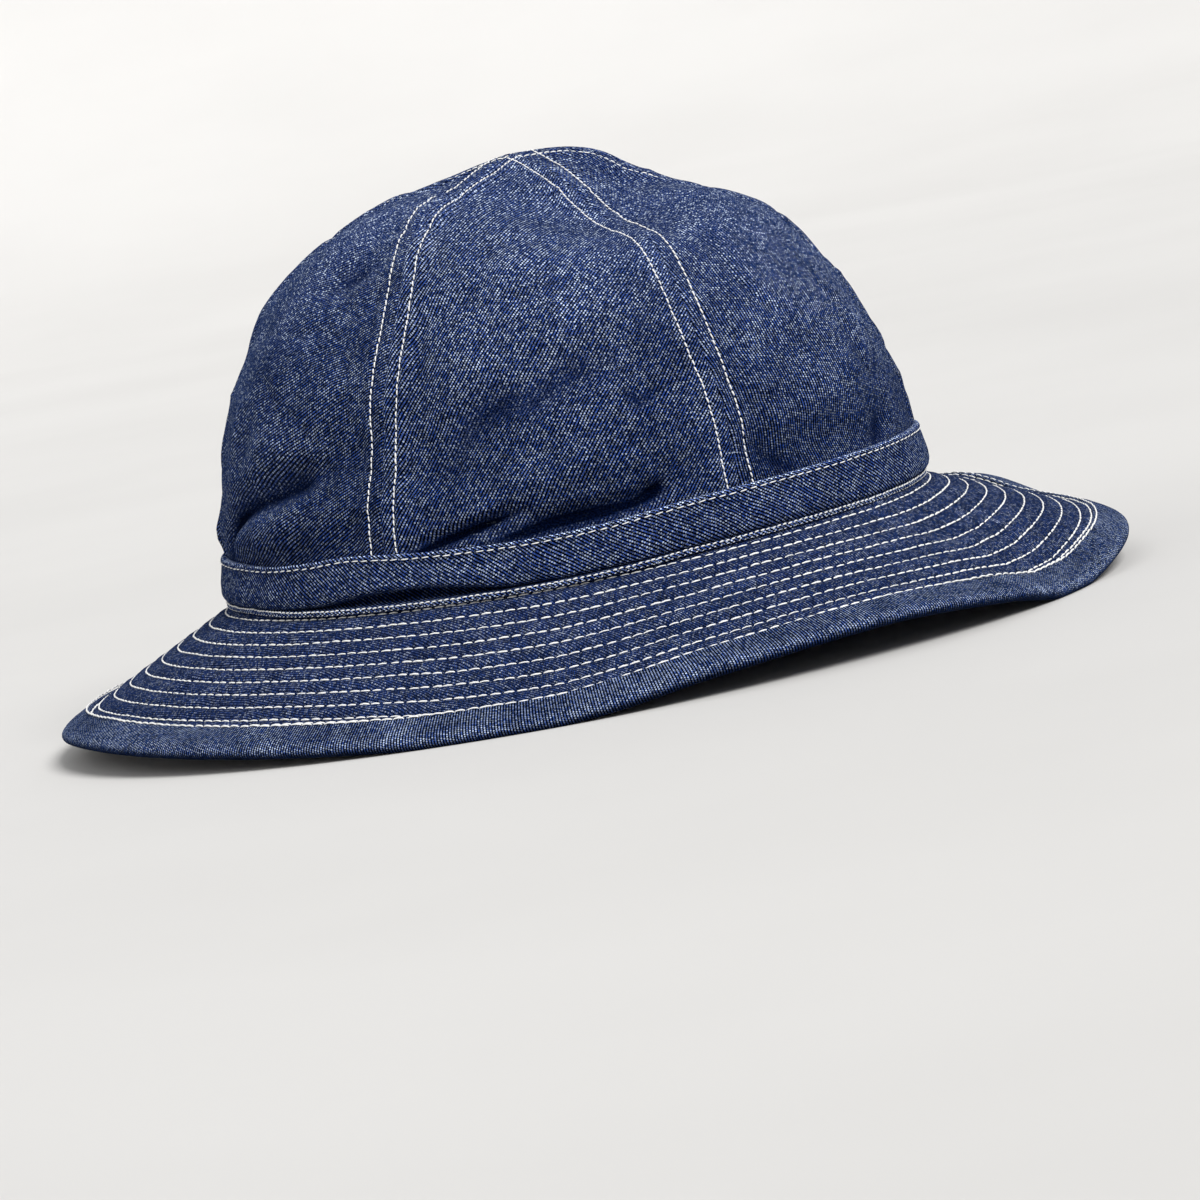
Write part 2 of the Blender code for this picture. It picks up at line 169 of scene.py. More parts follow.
# What is too small or too even to place by hand
LUMPS = (
    # size, height, seed
    (24.0, 0.85, 11),
    (10.0, 0.34, 12),
)
RUMPLES = (
    # size, height, or depth below 0, sharpness, seed
    (17.0, 0.7, 4, 13),
    (21.0, -0.9, 6, 14),
)

# Places where the nap has closed over the weave
NAP = (
    # turn, station, along, across, tilt, how much of the weave it hides
    (8, 6, 30, 44, 0, 0.6),
    (38, 8, 24, 16, 0, 0.45),
    (142, 7, 44, 34, 0, 0.66),
    (228, 6.5, 34, 26, 10, 0.4),
    (318, 5, 26, 30, 0, 0.3),
)
MOST_NAP = 0.85  # in all
CREASE_NAP = (0.9, 1.6)  # how much nap a deep crease has, and how deep that is

# Painted light and shade on the crown's cloth: lighter, or darker below 0
CROWN_LIGHT_AND_SHADE = (
    # turn, station, along, across, tilt, how much
    (86, 3, 36, 22, 0, -0.32),
    (61, 3.9, 12, 17, 0, -0.25),
    (114, 3.7, 14, 20, 0, -0.42),
    (120, 1.7, 5, 10, 0, 0.35),
    (130, 1.05, 9, 5, 0, -0.4),
    (147, 2.1, 14, 7, 0, 0.22),
    (76, 3.1, 8, 11, 0, -0.24),
    (97, 3.9, 14, 6, 10, -0.16),
    (6, 1.8, 9, 14, 0, 0.4),
    (24, 2.2, 26, 17, 0, 0.4),
    (27, 4.4, 20, 13, 0, -0.36),
    (34, 7.6, 18, 22, 0, 0.45),
    (138, 8.2, 24, 16, 0, 0.3),
    (166, 3, 10, 12, 0, 0.15),
    (250, 2.6, 30, 18, 0, -0.25),
    (320, 6, 24, 30, 0, 0.25),
)
PANEL_GRAIN = (-32.0, -9.0, 28.0, -12.0, 4.0, 22.0)  # how far each panel's cloth was turned when it was cut
PANEL_LIGHT_AND_SHADE = (-0.36, 0.02, -0.2, -0.2, -0.25, -0.2)  # and how much lighter each is than the rest, as painted light and shade
BAND_GRAIN, BRIM_GRAIN, BINDING_GRAIN = 78.0, -14.0, 30.0
SIDES = ("denim", "denim_reverse")  # the finishes of the crown's and the band's two sides
BAND_SHADE = 0.34  # how much darker the band is than the crown
FOOT_SHADE = 0.47  # painted shade: how much darker the crown is above the band
FOOT_STATIONS = (1.5, 4.2)  # over which that ends
CREASE_SHADE = (1.95, 2.5)  # painted shade: how much darker a deep crease is, and how deep that is
RELIEF_WEAR = 0.06  # how much lighter the cloth is for each millimetre that it stands out
SEAM_WEAR = (0.5, 0.45, 0.35)  # of a seam's folded edge: how faded, where from the seam, half-width
ROW_SHADE = (0.4, 0.6)  # painted shade in the channel of a row beside a seam: how dark, and its half-width

BRIM_EDGE = (
    # turn, drop below the plane of the crown seam
    (0, 27.5), (20, 26), (45, 29), (60, 31.5), (80, 34), (92, 31.8), (105, 27.5), (125, 24.8), (142, 28.8),
    (155, 33.8), (168, 29), (180, 26), (205, 22.5), (218, 15.5), (232, 20), (250, 31), (265, 34), (285, 34),
    (305, 31), (330, 28),
)

# Crown seams: the allowance stands proud beside a groove, and a row of stitches pulls it down at each side
SEAM_GAP = 0.06  # between two panels
HAIR = 1e-4  # the turn that keeps a panel's edges on its own side of their seams
SEAMS_FROM = (0.3, 0.95)  # the stations, behind the band, over which the seams' relief starts
SEAM_ROW = 4.0  # from the seam to each of its two rows of stitches
ALLOWANCE_HEIGHT = 0.75  # how far it stands proud
ALLOWANCE_EDGE = (5.0, 7.6)  # from the seam, where the allowance starts to fall away and where it ends
GROOVE = (0.35, 0.35)  # depth and half-width
LIP = (1.3, 0.18, 0.7)  # the roll beside the groove: distance from the seam, height and half-width
ROW_CHANNEL = (0.45, 0.75)  # depth and half-width
PUCKER = 0.16  # height of the puckers along a row
PUCKER_REACH = 4.5  # half-width of the cloth that they lift
ROOM = (6.0, 20.0)  # the widths of a panel over which the rows' relief fades towards the apex
# Where the folded layers start to end, and where they end: from the seam, and at most as a share of the panel
FOLDED_TO = ((7.0, 0.42), (8.5, 0.46))
RELIEF_INSIDE = 0.6  # how much of a seam's relief is thickness
THINNEST = 0.9  # that a panel's cloth gets
FOOT_GAP = 0.3  # from the crown's cloth down to the brim's
UPRIGHT = (8.6, 9.8)  # the stations over which the cloth's thickness turns upright

# The band: a ridge with two rows of stitches at its foot, the fullness that sags over it, and a folded top.
# The ridge and the sag reach out by their own tables, and the rest by this profile.
BAND_PROFILE = (
    # height, stand-out, share of the ridge's reach, of the sag, of the ridge's drop, of the sag's drop
    (0.3, -0.2, 1, 0, 1, 0),
    (0.6, 0.2, 1, 0, 1, 0),
    (1.2, 0.3, 1, 0, 1, 0),
    (1.8, 0.1, 1, 0, 1, 0),
    (2.2, 0.4, 0.5, 0, 1, 0),
    (2.5, 1, 0, 0, 0.8, 0.2),
    (3.8, 0.9, 0, 0.2, 0, 1),
    (4.1, 1.8, 0, 0.7, 0, 1),
    (4.6, 2.6, 0, 1, 0, 0.95),
    (5.6, 2.9, 0, 1, 0, 0.8),
    (7.5, 2.8, 0, 0.6, 0, 0.5),
    (10, 2.2, 0, 0.25, 0, 0.2),
    (12.2, 1.8, 0, 0, 0, 0),
    (13.2, 2, 0, 0, 0, 0),
    (13.9, 1.8, 0, 0, 0, 0),
    (14.2, 1.2, 0, 0, 0, 0),
)
RIDGE_TOP, SAG_FOOT = 1.8, 4.1  # their heights in that profile, before either drops
RIDGE_LIFT = 0.55  # of the ridge off the brim
FULL_FROM, FULL_TO = (4.0, 5.5), (11.0, 13.0)  # the heights over which its unevenness starts and ends
DIP_HEIGHTS = (5.5, 12.0)  # over which the dip grows to its whole depth
BAND_CLEARANCE = 0.15  # between the crown's form and the band's inner side
RIDGE_REACH = (
    # turn, how far the ridge reaches out over the brim
    (0, 2), (22, 2.3), (32, 3.6), (42, 4.1), (60, 4.1), (100, 4), (115, 2.6), (180, 2), (250, 3),
    (320, 2.4),
)
BAND_SAG = (
    # turn, how far the cloth above the ridge hangs out over it
    (0, 0.3), (30, 0.8), (52, 1.5), (72, 1.6), (88, 0.8), (105, 0.9), (125, 0.3), (150, 0), (180, 0.4),
    (230, 1), (300, 0.6),
)
BAND_GAP = (
    # turn, the dark gap left between the ridge and the cloth that hangs over it
    (0, 0.9), (20, 0.4), (34, 0.6), (42, 1.3), (50, 3), (57, 3.9), (64, 3.8), (71, 2.6), (80, 0.9),
    (120, 0.4), (180, 0.6), (230, 1.6), (260, 0.8), (310, 1.8), (340, 0.9),
)
BAND_DIP = (
    # turn, how far the band's folded top has slipped down
    (0, 0), (16, 0.5), (29, 1.4), (39, 1), (48, 0.1), (56, 0.7), (64, 1.3), (80, 2), (88, 2), (96, 1.7),
    (104, 1.1), (112, 0.3), (122, 0), (210, 0), (232, 0.9), (262, 0.4), (290, 1.2), (330, 0),
)
BAND_PLEATS = (
    # turn, depth, half-width in degrees
    (112.5, 0.9, 1.1),
    (117.5, 0.8, 1.3),
)
BAND_WEAR_AND_SHADE = (
    # height, half-height, how faded, or below 0 how much painted shade darkens it
    (14.0, 0.3, 1.7),
    (1.2, 0.8, 0.6),
    (3.1, 1.0, -1.3),
    (12.9, 0.6, -0.3),
)
BAND_ROWS = (
    # height, pitch, length and thickness of its rows of stitches
    (0.65, 1.8, 0.55, 0.38),
    (1.7, 1.8, 1.22, 0.74),
    (12.9, 3.1, 2.1, 0.64),
)

# Small unevenness of each cloth that goes round the hat
SAG_UNEVEN = (
    # height of its lumps, their length up the cloth, lumps to a radian of turn, seed
    (0.35, 12.5, 7.0, 21),
    (0.2, 5.0, 26.0, 22),
)
BAND_PUCKERS = ((0.10, 2.0, 40.0, 23),)
BRIM_PUCKERS = ((0.16, 4.5, 30.0, 33), (0.10, 3.0, 55.0, 34))
BINDING_PUFF = ((0.10, 4.0, 30.0, 41), (0.14, 9.0, 9.0, 42))

# The binding's legs: beyond this height its section is one of them, and its stitches pull them in
LEG_HEIGHT, LEG_SINK = 1.5, 0.12
# The binding's rim: how far past the plies' edge it starts, how it is faded on top, and the painted shade
# below it
RIM = (-1.5, 0.5)
RIM_FADE = (0.5, 1.2, 0.8)  # how much, height and half-height
# painted shade under the binding's rim: how much darker
RIM_PAINTED_SHADE = 1.5
RIM_PAINTED_SHADE_DEPTHS = (-1.7, 0.7)  # below the middle, over which the painted shade starts
PUFF_WEAR = 2.0  # how much lighter it is for each millimetre that it puffs out

# Rows of stitches round the brim: nine single ones, then a double one along the binding
FIRST_ROW = 3.0  # the slant of the first
SINGLE_ROWS = 9
OUTER_ROW = 50.9  # the slant of the double one's outer pass
ROW_PITCH = (
    # turn, from one row to the next
    (0, 5.6), (45, 5.5), (63, 5.6), (75, 5.85), (84, 6), (115, 6), (130, 5.95), (145, 5.75), (165, 5.55),
    (190, 5.4), (270, 5.5), (330, 5.55),
)
SECOND_PASS = (
    # turn, how far inside the outer row its second pass lies
    (0, 3), (6, 1.2), (12, 0.5), (20, 1), (32, 0.2), (45, 0.9), (55, 1.6), (65, 1), (75, 0.3), (84, 0),
    (95, 0), (105, 0.3), (112, 0.5), (120, 0.2), (130, 0), (140, 0.4), (150, 1), (165, 1.3), (180, 1.3),
    (195, 1.2), (270, 1), (345, 2),
)
PUFF = 0.55  # how far the brim stands out between two rows
CHANNEL = 0.30  # how far a row pulls it in
UNDER_SHARE = 0.8  # how much of that the lower ply has
BRIM_WEAR = 1.1  # how much lighter it is for each millimetre that it stands out
ROW_WANDER = 0.22  # how far a row strays to each side
PUFF_SHAPE = 0.75  # the power of the sine between two rows, for a full puff
PUFF_VARIES = 0.35  # the share by which puffs differ
QUILTED_FROM, QUILTED_TO = (-1.0, 1.5), (51.5, 53.5)  # the slants over which the quilting starts and ends
BINDING_LEG = (50.2, 50.8)  # the slants over which the outer rows step up onto the binding

# Thread
THREAD = 0.27  # half the thickness of a stitch
THREAD_LIFT = 0.03  # how far a stitch lies off the cloth
THREAD_FLATNESS = 0.85  # its thickness over its width
STITCH_SHAPE = (
    # share of its length, lift and thickness in threads, sideways bow
    (0.00, -0.70, 0.45, -0.9),
    (0.14, 0.20, 0.85, -0.2),
    (0.50, 0.62, 1.00, 0.4),
    (0.87, 0.26, 0.95, 0.1),
    (1.00, -0.70, 0.60, -0.2),
)
# How one stitch differs from the next: its place, in pitches, and its sideways shift as standard deviations,
# and the least and most of its length, thickness, bow and lean
PLACE_VARIES, SHIFT_VARIES = 0.05, 0.045
LENGTH_VARIES, THICKNESS_VARIES = (0.9, 1.08), (0.9, 1.1)
BOW_VARIES, LEAN_VARIES = (0.4, 1.5), (0.4, 1.6)
# pitch, length of one stitch, thickness, and how far it bows and leans to one side
BRIM_STITCH = dict(pitch=3.42, length=3.0, thick=0.95, bow=0.16, lean=0.0)
CROWN_STITCH = dict(pitch=1.88, length=1.56, thick=0.84, bow=0.05, lean=0.16)

# Mesh density
PANEL_EDGE_COLUMNS = 18  # beside each seam
PANEL_MIDDLE_COLUMNS = 80
PANEL_ROWS = 150
PANEL_HIDDEN_ROWS = 6  # behind the band
HIDDEN_STATION, TOP_STATION = 0.9, 9.97  # up to which the band hides the cloth, and where the cloth ends
EDGE_WIDTH, EDGE_SHARE = 9.0, 0.3  # how wide the edge columns are together, and at most what share
BAND_COLUMNS, BAND_MESH_ROWS = 640, 34
BRIM_COLUMNS, BRIM_MESH_ROWS = 720, 96
UNDER_COLUMNS, UNDER_MESH_ROWS = 560, 64
PLY_STEP = 8  # rows and columns of a ply to one on its hidden side
BINDING_COLUMNS = 900
ROW_POINTS = 2401  # along a row of stitches that goes once round
CROWN_ROW_PARTS = ((0.86, 9.0, 300), (9.01, 9.96, 120))  # of a row up the crown: from, to and points
RING_START = 215.0  # the turn where the band, the brim and the binding begin and end
SHARP_FROM = 62.0  # the angle between two faces from which their edge isn't smoothed

# The cloth's map, and the layout that the finish is baked to
HIDDEN_SHIFT = 0.8  # on the cloth's map, from a rim's seen side to its hidden side
STITCH_ON_MAP = (3.0, 2.0)  # a stitch's size on it
STITCHES_APART = (7.3, 5.1)
PATCH_MARGIN = 1.5  # round each patch of the layout
CELL_MARGIN = 0.06  # round each stitch of it, as a share of its cell

SEAM_TURNS = np.array([turn for turn, _ in CROWN_SEAMS] + [360.0])
CROWN_HEIGHT = CROWN_STATIONS["front_height"][-1]
NOISE_CELLS = 64  # before the noise repeats


# Curves and noise


def smooth_through(values, where):
    """The curve through evenly spaced values (Catmull-Rom), read at fractional positions."""
    values = np.asarray(values, float)
    padded = np.concatenate(([2 * values[0] - values[1]], values, [2 * values[-1] - values[-2]]))
    index = np.clip(np.floor(where).astype(int), 0, len(values) - 2)
    t = where - index
    before, start, end, after = (padded[index + k] for k in range(4))
    bend = 2 * before - 5 * start + 4 * end - after
    turn_over = after - before + 3 * (start - end)
    return start + 0.5 * t * (end - before + t * (bend + t * turn_over))


def smooth_round(rows, turn):
    """The closed curve through (turn, value) rows, read at any turn."""
    turns, values = np.array(rows, float).T
    count = len(rows)
    turn = np.mod(turn, 360)
    index = np.searchsorted(turns, turn, side="right") - 1

    def knot(k):
        return turns[k % count] + 360 * np.floor_divide(k, count), values[k % count]

    (t0, v0), (t1, v1), (t2, v2), (t3, v3) = (knot(index + k) for k in (-1, 0, 1, 2))
    slope_start = (v2 - v0) / (t2 - t0) * (t2 - t1)
    slope_end = (v3 - v1) / (t3 - t1) * (t2 - t1)
    t = (turn - t1) / (t2 - t1)
    rise = t * t * (3 - 2 * t)
    return v1 + (v2 - v1) * rise + t * (1 - t) * (slope_start * (1 - t) - slope_end * t)


def ease(value, start, end):
    """0 at the start, 1 at the end, and smooth between."""
    t = np.clip((value - start) / (end - start), 0, 1)
    return t * t * (3 - 2 * t)


def bump(value, half_width):
    """1 at 0, and falling away over the half-width."""
    return np.exp(-((value / half_width) ** 2))


def soft_noise(points, seed):
    """Smooth noise from -1 to 1, with one lump to each unit of the points' space."""
    lattice = np.random.default_rng(seed).uniform(-1, 1, (NOISE_CELLS,) * 3)
    cell = np.floor(points).astype(int)
    t = points - cell
    t = t * t * (3 - 2 * t)
    total = 0
    for corner in np.ndindex(2, 2, 2):
        index = np.moveaxis((cell + corner) % NOISE_CELLS, -1, 0)
        weight = np.prod(np.where(corner, t, 1 - t), axis=-1)
        total = total + weight * lattice[tuple(index)]
    return total


def round_noise(turn, other, cells, seed):
    """Noise that closes on itself: so many cells to a radian of turn, and one to a unit of the other."""
    angle = np.radians(turn)
    points = np.stack(np.broadcast_arrays(cells * np.cos(angle), cells * np.sin(angle), other), axis=-1)
    return soft_noise(points + 0.37, seed)


def uneven(table, turn, up):
    """A table's unevenness, this far round and up a cloth."""
    return sum(height * round_noise(turn, up / length, cells, seed) for height, length, cells, seed in table)


def turn_between(turn, centre):
    """The signed turn from centre, between -180 and 180."""
    return np.mod(turn - centre + 180, 360) - 180


def alike(*values):
    """Numbers and arrays as float arrays of one shape."""
    return np.broadcast_arrays(*(np.asarray(value, float) for value in values))


def unit(vectors):
    """The vectors made 1 long."""
    return vectors / np.linalg.norm(vectors, axis=-1, keepdims=True)


def lengths_along(points):
    """How far along the line through these points each of them lies."""
    return np.concatenate([[0], np.cumsum(np.linalg.norm(np.diff(points, axis=0), axis=-1))])


# Forms shared with the source


def base_reach(turn):
    """How far the base oval lies from the middle."""
    angle = np.radians(turn)
    return 1 / np.hypot(np.sin(angle) / BASE_HALF_WIDTH, np.cos(angle) / BASE_HALF_LENGTH)


def seam_level(turn):
    """Height of the crown seam, which runs lower at the sides."""
    return -SEAM_DIP * np.sin(np.radians(turn)) ** 2


def place(turn, reach, height, shift=0.0):
    """A point at this reach from the middle, as an array whose last axis is x, y, z."""
    angle = np.radians(turn)
    return np.stack([reach * np.sin(angle), shift - reach * np.cos(angle), height], axis=-1)


def outward(surface, u, v):
    """The surface's unit normal at (u, v), on the side that u x v points to."""
    along_u = surface(u + NORMAL_STEP, v) - surface(u - NORMAL_STEP, v)
    along_v = surface(u, v + NORMAL_STEP) - surface(u, v - NORMAL_STEP)
    return unit(np.cross(along_u, along_v))


def across_panel(turn):
    """The number of the panel at each turn, and how far across that panel the turn lies."""
    turn = np.mod(turn, 360)
    panel = np.searchsorted(SEAM_TURNS, turn, side="right") - 1
    return panel, (turn - SEAM_TURNS[panel]) / (SEAM_TURNS[panel + 1] - SEAM_TURNS[panel])


def on_meridians(quantity, turn, station):
    """A share or a height of CROWN_STATIONS, blended between the two seams of each panel."""
    panel, across = across_panel(turn)
    blend = across * across * (3 - 2 * across)
    at_seams = [smooth_through(CROWN_STATIONS[f"{name}_{quantity}"], station) for _, name in CROWN_SEAMS]
    at_seams = np.stack(at_seams + at_seams[:1])
    start = np.take_along_axis(at_seams, panel[None], axis=0)[0]
    end = np.take_along_axis(at_seams, panel[None] + 1, axis=0)[0]
    return start + (end - start) * blend


def crown_reach(turn, station):
    """How far the crown's plain form lies from its middle."""
    return base_reach(turn) * on_meridians("share", turn, station)


def crown_form(turn, station):
    """The crown's outer face without its fullness and folds."""
    turn, station = alike(turn, station)
    height = on_meridians("height", turn, station)
    risen = height / CROWN_HEIGHT
    level = seam_level(turn) * (1 - risen)
    return place(turn, crown_reach(turn, station), height + level, APEX_SHIFT * risen)


def brim_slope(turn):
    """How steeply the brim falls at each turn, in radians."""
    drop = np.minimum(smooth_round(BRIM_EDGE, turn), REST_DROP)
    return np.arcsin((drop + seam_level(turn) - BRIM_TOP) / BRIM_SLANT)


def brim_surface(turn, slant):
    """The middle of the brim's thickness, this far down the slant, and level where it is under the crown."""
    turn, slant = alike(turn, slant)
    slope = brim_slope(turn)
    run = np.where(slant > 0, slant * np.cos(slope), slant)
    fall = np.where(slant > 0, slant * np.sin(slope), 0)
    return place(turn, base_reach(turn) + run, seam_level(turn) - BRIM_TOP - fall)


# Crown


def panel_width(turn, station):
    """The width of the panel at this turn and station, and the distance from the nearer of its seams."""
    panel, across = across_panel(turn)
    width = np.radians(SEAM_TURNS[panel + 1] - SEAM_TURNS[panel]) * crown_reach(turn, station)
    return width, np.minimum(across, 1 - across) * width


def swells(table, turn, station, reach):
    """The sum of a table's soft ovals on the crown, each as much as its last column."""
    total = np.zeros(np.shape(turn))
    for centre, centre_station, along, wide, tilt, amount in table:
        round_way = np.radians(turn_between(turn, centre)) * reach
        up_way = (station - centre_station) * STATION_MM
        cos_tilt, sin_tilt = np.cos(np.radians(tilt)), np.sin(np.radians(tilt))
        lengthwise = (round_way * cos_tilt + up_way * sin_tilt) / along
        crosswise = (up_way * cos_tilt - round_way * sin_tilt) / wide
        total = total + amount * np.exp(-(lengthwise**2) - crosswise**2)
    return total


def broad_folds(turn, station, reach):
    """The source's fullness and folds."""
    across = across_panel(turn)[1]
    fullness = smooth_through(CROWN_STATIONS["fullness"], station) * np.sin(np.pi * across) ** 2
    return fullness + swells(CROWN_FOLDS, turn, station, reach)


def nearest_on_path(path, turn, station, reach):
    """The distance to a path over the crown, the side of it (1 or -1), and the share of the path passed."""
    x = np.radians(turn_between(turn, path[0][0])) * reach
    y = station * STATION_MM
    nearest = np.full(np.shape(turn), np.inf)
    side, passed = np.zeros(np.shape(turn)), np.zeros(np.shape(turn))
    for number, ((turn_a, station_a), (turn_b, station_b)) in enumerate(zip(path, path[1:])):
        ax, ay = np.radians(turn_a - path[0][0]) * reach, station_a * STATION_MM
        bx, by = np.radians(turn_b - path[0][0]) * reach, station_b * STATION_MM
        dx, dy = bx - ax, by - ay
        t = np.clip(((x - ax) * dx + (y - ay) * dy) / (dx * dx + dy * dy + 1e-9), 0, 1)
        off_x, off_y = x - ax - t * dx, y - ay - t * dy
        distance = np.hypot(off_x, off_y)
        closer = distance < nearest
        nearest = np.where(closer, distance, nearest)
        side = np.where(closer, np.sign(dx * off_y - dy * off_x), side)
        passed = np.where(closer, (number + t) / (len(path) - 1), passed)
    return nearest, side, passed


def creases(turn, station, reach):
    """The sharp valleys in those folds, each fading out at its two ends, and the cloth rolled beside them."""
    relief = np.zeros(np.shape(turn))
    for depth, half_width, roll, *path in CREASES:
        nearest, side, passed = nearest_on_path(path, turn, station, reach)
        strength = np.sqrt(np.sin(np.pi * np.clip(passed, *CREASE_ENDS)))
        valley = depth * np.exp(-np.abs(nearest / half_width) ** 1.5)
        rolled = abs(roll) * bump(side * nearest - np.sign(roll) * ROLL_OFFSET * half_width, half_width)
        relief = relief + strength * (rolled - valley)
    return relief


def seam_relief(turn, station):
    """The sewn seams: the proud allowance, the groove between two panels, and the rows that pull it down."""
    width, from_seam = panel_width(turn, station)
    proud = ALLOWANCE_HEIGHT * (1 - ease(from_seam, *ALLOWANCE_EDGE))
    groove = GROOVE[0] * np.exp(-np.abs(from_seam / GROOVE[1]))
    lip = LIP[1] * bump(from_seam - LIP[0], LIP[2])
    room = ease(width, *ROOM)
    channel = ROW_CHANNEL[0] * bump(from_seam - SEAM_ROW, ROW_CHANNEL[1]) * room
    puckers = soft_noise(np.stack([turn / 4.0, station * STATION_MM / 3.0, turn * 0], -1), 5)
    pulled = PUCKER * bump(from_seam - SEAM_ROW, PUCKER_REACH) * puckers
    return proud - groove + lip - channel + pulled * room


def crown_relief(turn, station):
    """How far the crown's cloth stands out from its plain form."""
    turn, station = alike(turn, station)
    reach = crown_reach(turn, station)
    folds = broad_folds(turn, station, reach) + creases(turn, station, reach)
    form = crown_form(turn, station)
    for size, height, seed in LUMPS:
        folds = folds + height * soft_noise(form / size, seed)
    for size, height, sharpness, seed in RUMPLES:
        folds = folds + height * (1 - np.abs(soft_noise(form / size, seed))) ** sharpness
    above_band = np.clip((station - BAND_STATION) / BAND_FADE, 0, 1)
    below_apex = np.clip((LAST_STATION - station) / APEX_FADE, 0, 1)
    return folds * above_band * below_apex + seam_relief(turn, station) * ease(station, *SEAMS_FROM)


def crown_cloth(turn, station):
    """The crown's outer face as it is seen."""
    turn, station = alike(turn, station)
    relief = crown_relief(turn, station)[..., None]
    return crown_form(turn, station) + relief * outward(crown_form, turn, station)


def plan_reach(turn, station):
    """How far the crown's plain form lies from the base oval's middle, seen from above."""
    return np.linalg.norm(crown_form(turn, station)[..., :2], axis=-1)


def panel_grid(number):
    """Turns, stations and shares across for one panel, with more columns beside the seams."""
    start, end = SEAM_TURNS[number : number + 2]
    low = np.linspace(0, HIDDEN_STATION, PANEL_HIDDEN_ROWS, endpoint=False)
    stations = np.append(low, np.linspace(HIDDEN_STATION, TOP_STATION, PANEL_ROWS + 1))[:, None]
    width = np.radians(end - start) * plan_reach((start + end) / 2, stations)
    edge = 0.5 * SEAM_GAP / width
    near = np.minimum(EDGE_WIDTH / width, EDGE_SHARE)
    left = edge + (near - edge) * np.linspace(0, 1, PANEL_EDGE_COLUMNS, endpoint=False)
    centre = near + (1 - 2 * near) * np.linspace(0, 1, PANEL_MIDDLE_COLUMNS + 1)
    across = np.concatenate([left, centre, 1 - left[:, ::-1]], axis=1)
    turns = start + (end - start) * across
    return turns, np.broadcast_to(stations, turns.shape), across, np.broadcast_to(width, turns.shape)


def panel_normals(outer, stations, number):
    """Which way a panel's thickness lies: upright near the apex, and along the seam's own plane at a seam."""
    normal = grid_normals(outer)
    normal = normal + (np.array([0, 0, 1]) - normal) * ease(stations, *UPRIGHT)[..., None]
    for column, seam in ((0, number), (-1, number + 1)):
        angle = np.radians(SEAM_TURNS[seam])
        aside = np.array([np.cos(angle), np.sin(angle), 0])
        normal[:, column] -= (normal[:, column] @ aside)[:, None] * aside
    return unit(normal)


def panel_looks(number, inside, stations, across, from_seam):
    """Where a panel's cloth is faded, where it has painted light and shade, and where its nap has closed."""
    reach = plan_reach(inside, stations)
    sunk = -np.minimum(creases(inside, stations, reach), 0)
    wear_and_shade = SEAM_WEAR[0] * bump(from_seam - SEAM_WEAR[1], SEAM_WEAR[2]) * (across < 0.5)
    # painted shade in the channels of the rows
    wear_and_shade = wear_and_shade - ROW_SHADE[0] * bump(from_seam - SEAM_ROW, ROW_SHADE[1])
    wear_and_shade = wear_and_shade + RELIEF_WEAR * np.clip(crown_relief(inside, stations), -3, 3)
    # painted shade in the creases
    wear_and_shade = wear_and_shade - CREASE_SHADE[0] * (1 - bump(sunk, CREASE_SHADE[1]))
    # painted light and shade of each panel, and painted shade above the band
    wear_and_shade = wear_and_shade + PANEL_LIGHT_AND_SHADE[number] - FOOT_SHADE * (1 - ease(stations, *FOOT_STATIONS))
    # painted light and shade, from the crown's table
    wear_and_shade = wear_and_shade + swells(CROWN_LIGHT_AND_SHADE, inside, stations, reach)
    nap = swells(NAP, inside, stations, reach) + CREASE_NAP[0] * (1 - bump(sunk, CREASE_NAP[1]))
    return dict(wear_and_shade=wear_and_shade, nap=np.minimum(nap, MOST_NAP))


def crown_panel(number):
    """One panel of the crown, with its seam allowances folded under at both edges."""
    turns, stations, across, width = panel_grid(number)
    inside = np.clip(turns, SEAM_TURNS[number] + HAIR, SEAM_TURNS[number + 1] - HAIR)
    outer = crown_cloth(inside, stations)
    from_seam = np.minimum(across, 1 - across) * width
    folded = 1 - ease(from_seam, *(np.minimum(reach, share * width) for reach, share in FOLDED_TO))
    thick = CLOTH + (SEAM_LAYERS - CLOTH) * folded + RELIEF_INSIDE * seam_relief(inside, stations)
    inner = outer - np.maximum(thick, THINNEST)[..., None] * panel_normals(outer, stations, number)
    for wall in (outer, inner):
        wall[0, :, 2] = seam_level(turns[0]) + FOOT_GAP
    cloth = grain(np.stack([(across - 0.5) * width, stations * STATION_MM], -1), PANEL_GRAIN[number], number)
    looks = panel_looks(number, inside, stations, across, from_seam)
    return cloth_sheet(f"panel_cloth_{number + 1}", outer, inner, cloth, looks)


# Band


def band_profile(turn, height):
    """How far the band's face stands out at each height, and how far it has sunk from there."""
    heights, plain, *shares = np.array(BAND_PROFILE).T
    of_reach, of_sag, of_ridge_drop, of_sag_drop = (np.interp(height, heights, share) for share in shares)
    out = np.interp(height, heights, plain)
    out = out + of_reach * smooth_round(RIDGE_REACH, turn) + of_sag * smooth_round(BAND_SAG, turn)
    body = ease(height, *FULL_FROM) * (1 - ease(height, *FULL_TO))
    folds = uneven(SAG_UNEVEN, turn, height)
    for centre, depth, half_width in BAND_PLEATS:
        folds = folds - depth * bump(turn_between(turn, centre), half_width)
    out = out + body * folds + uneven(BAND_PUCKERS, turn, height) * (1 - 0.5 * body)
    ridge_drop = smooth_round(RIDGE_REACH, turn) * np.tan(brim_slope(turn)) - RIDGE_LIFT
    sag_drop = SAG_FOOT - RIDGE_TOP + ridge_drop - smooth_round(BAND_GAP, turn)
    dip = smooth_round(BAND_DIP, turn) * ease(height, *DIP_HEIGHTS)
    return out, of_ridge_drop * ridge_drop + of_sag_drop * sag_drop + dip


def behind_band(height):
    """The crown's station behind each height of the band."""
    return BAND_STATION * height / BAND_HEIGHT


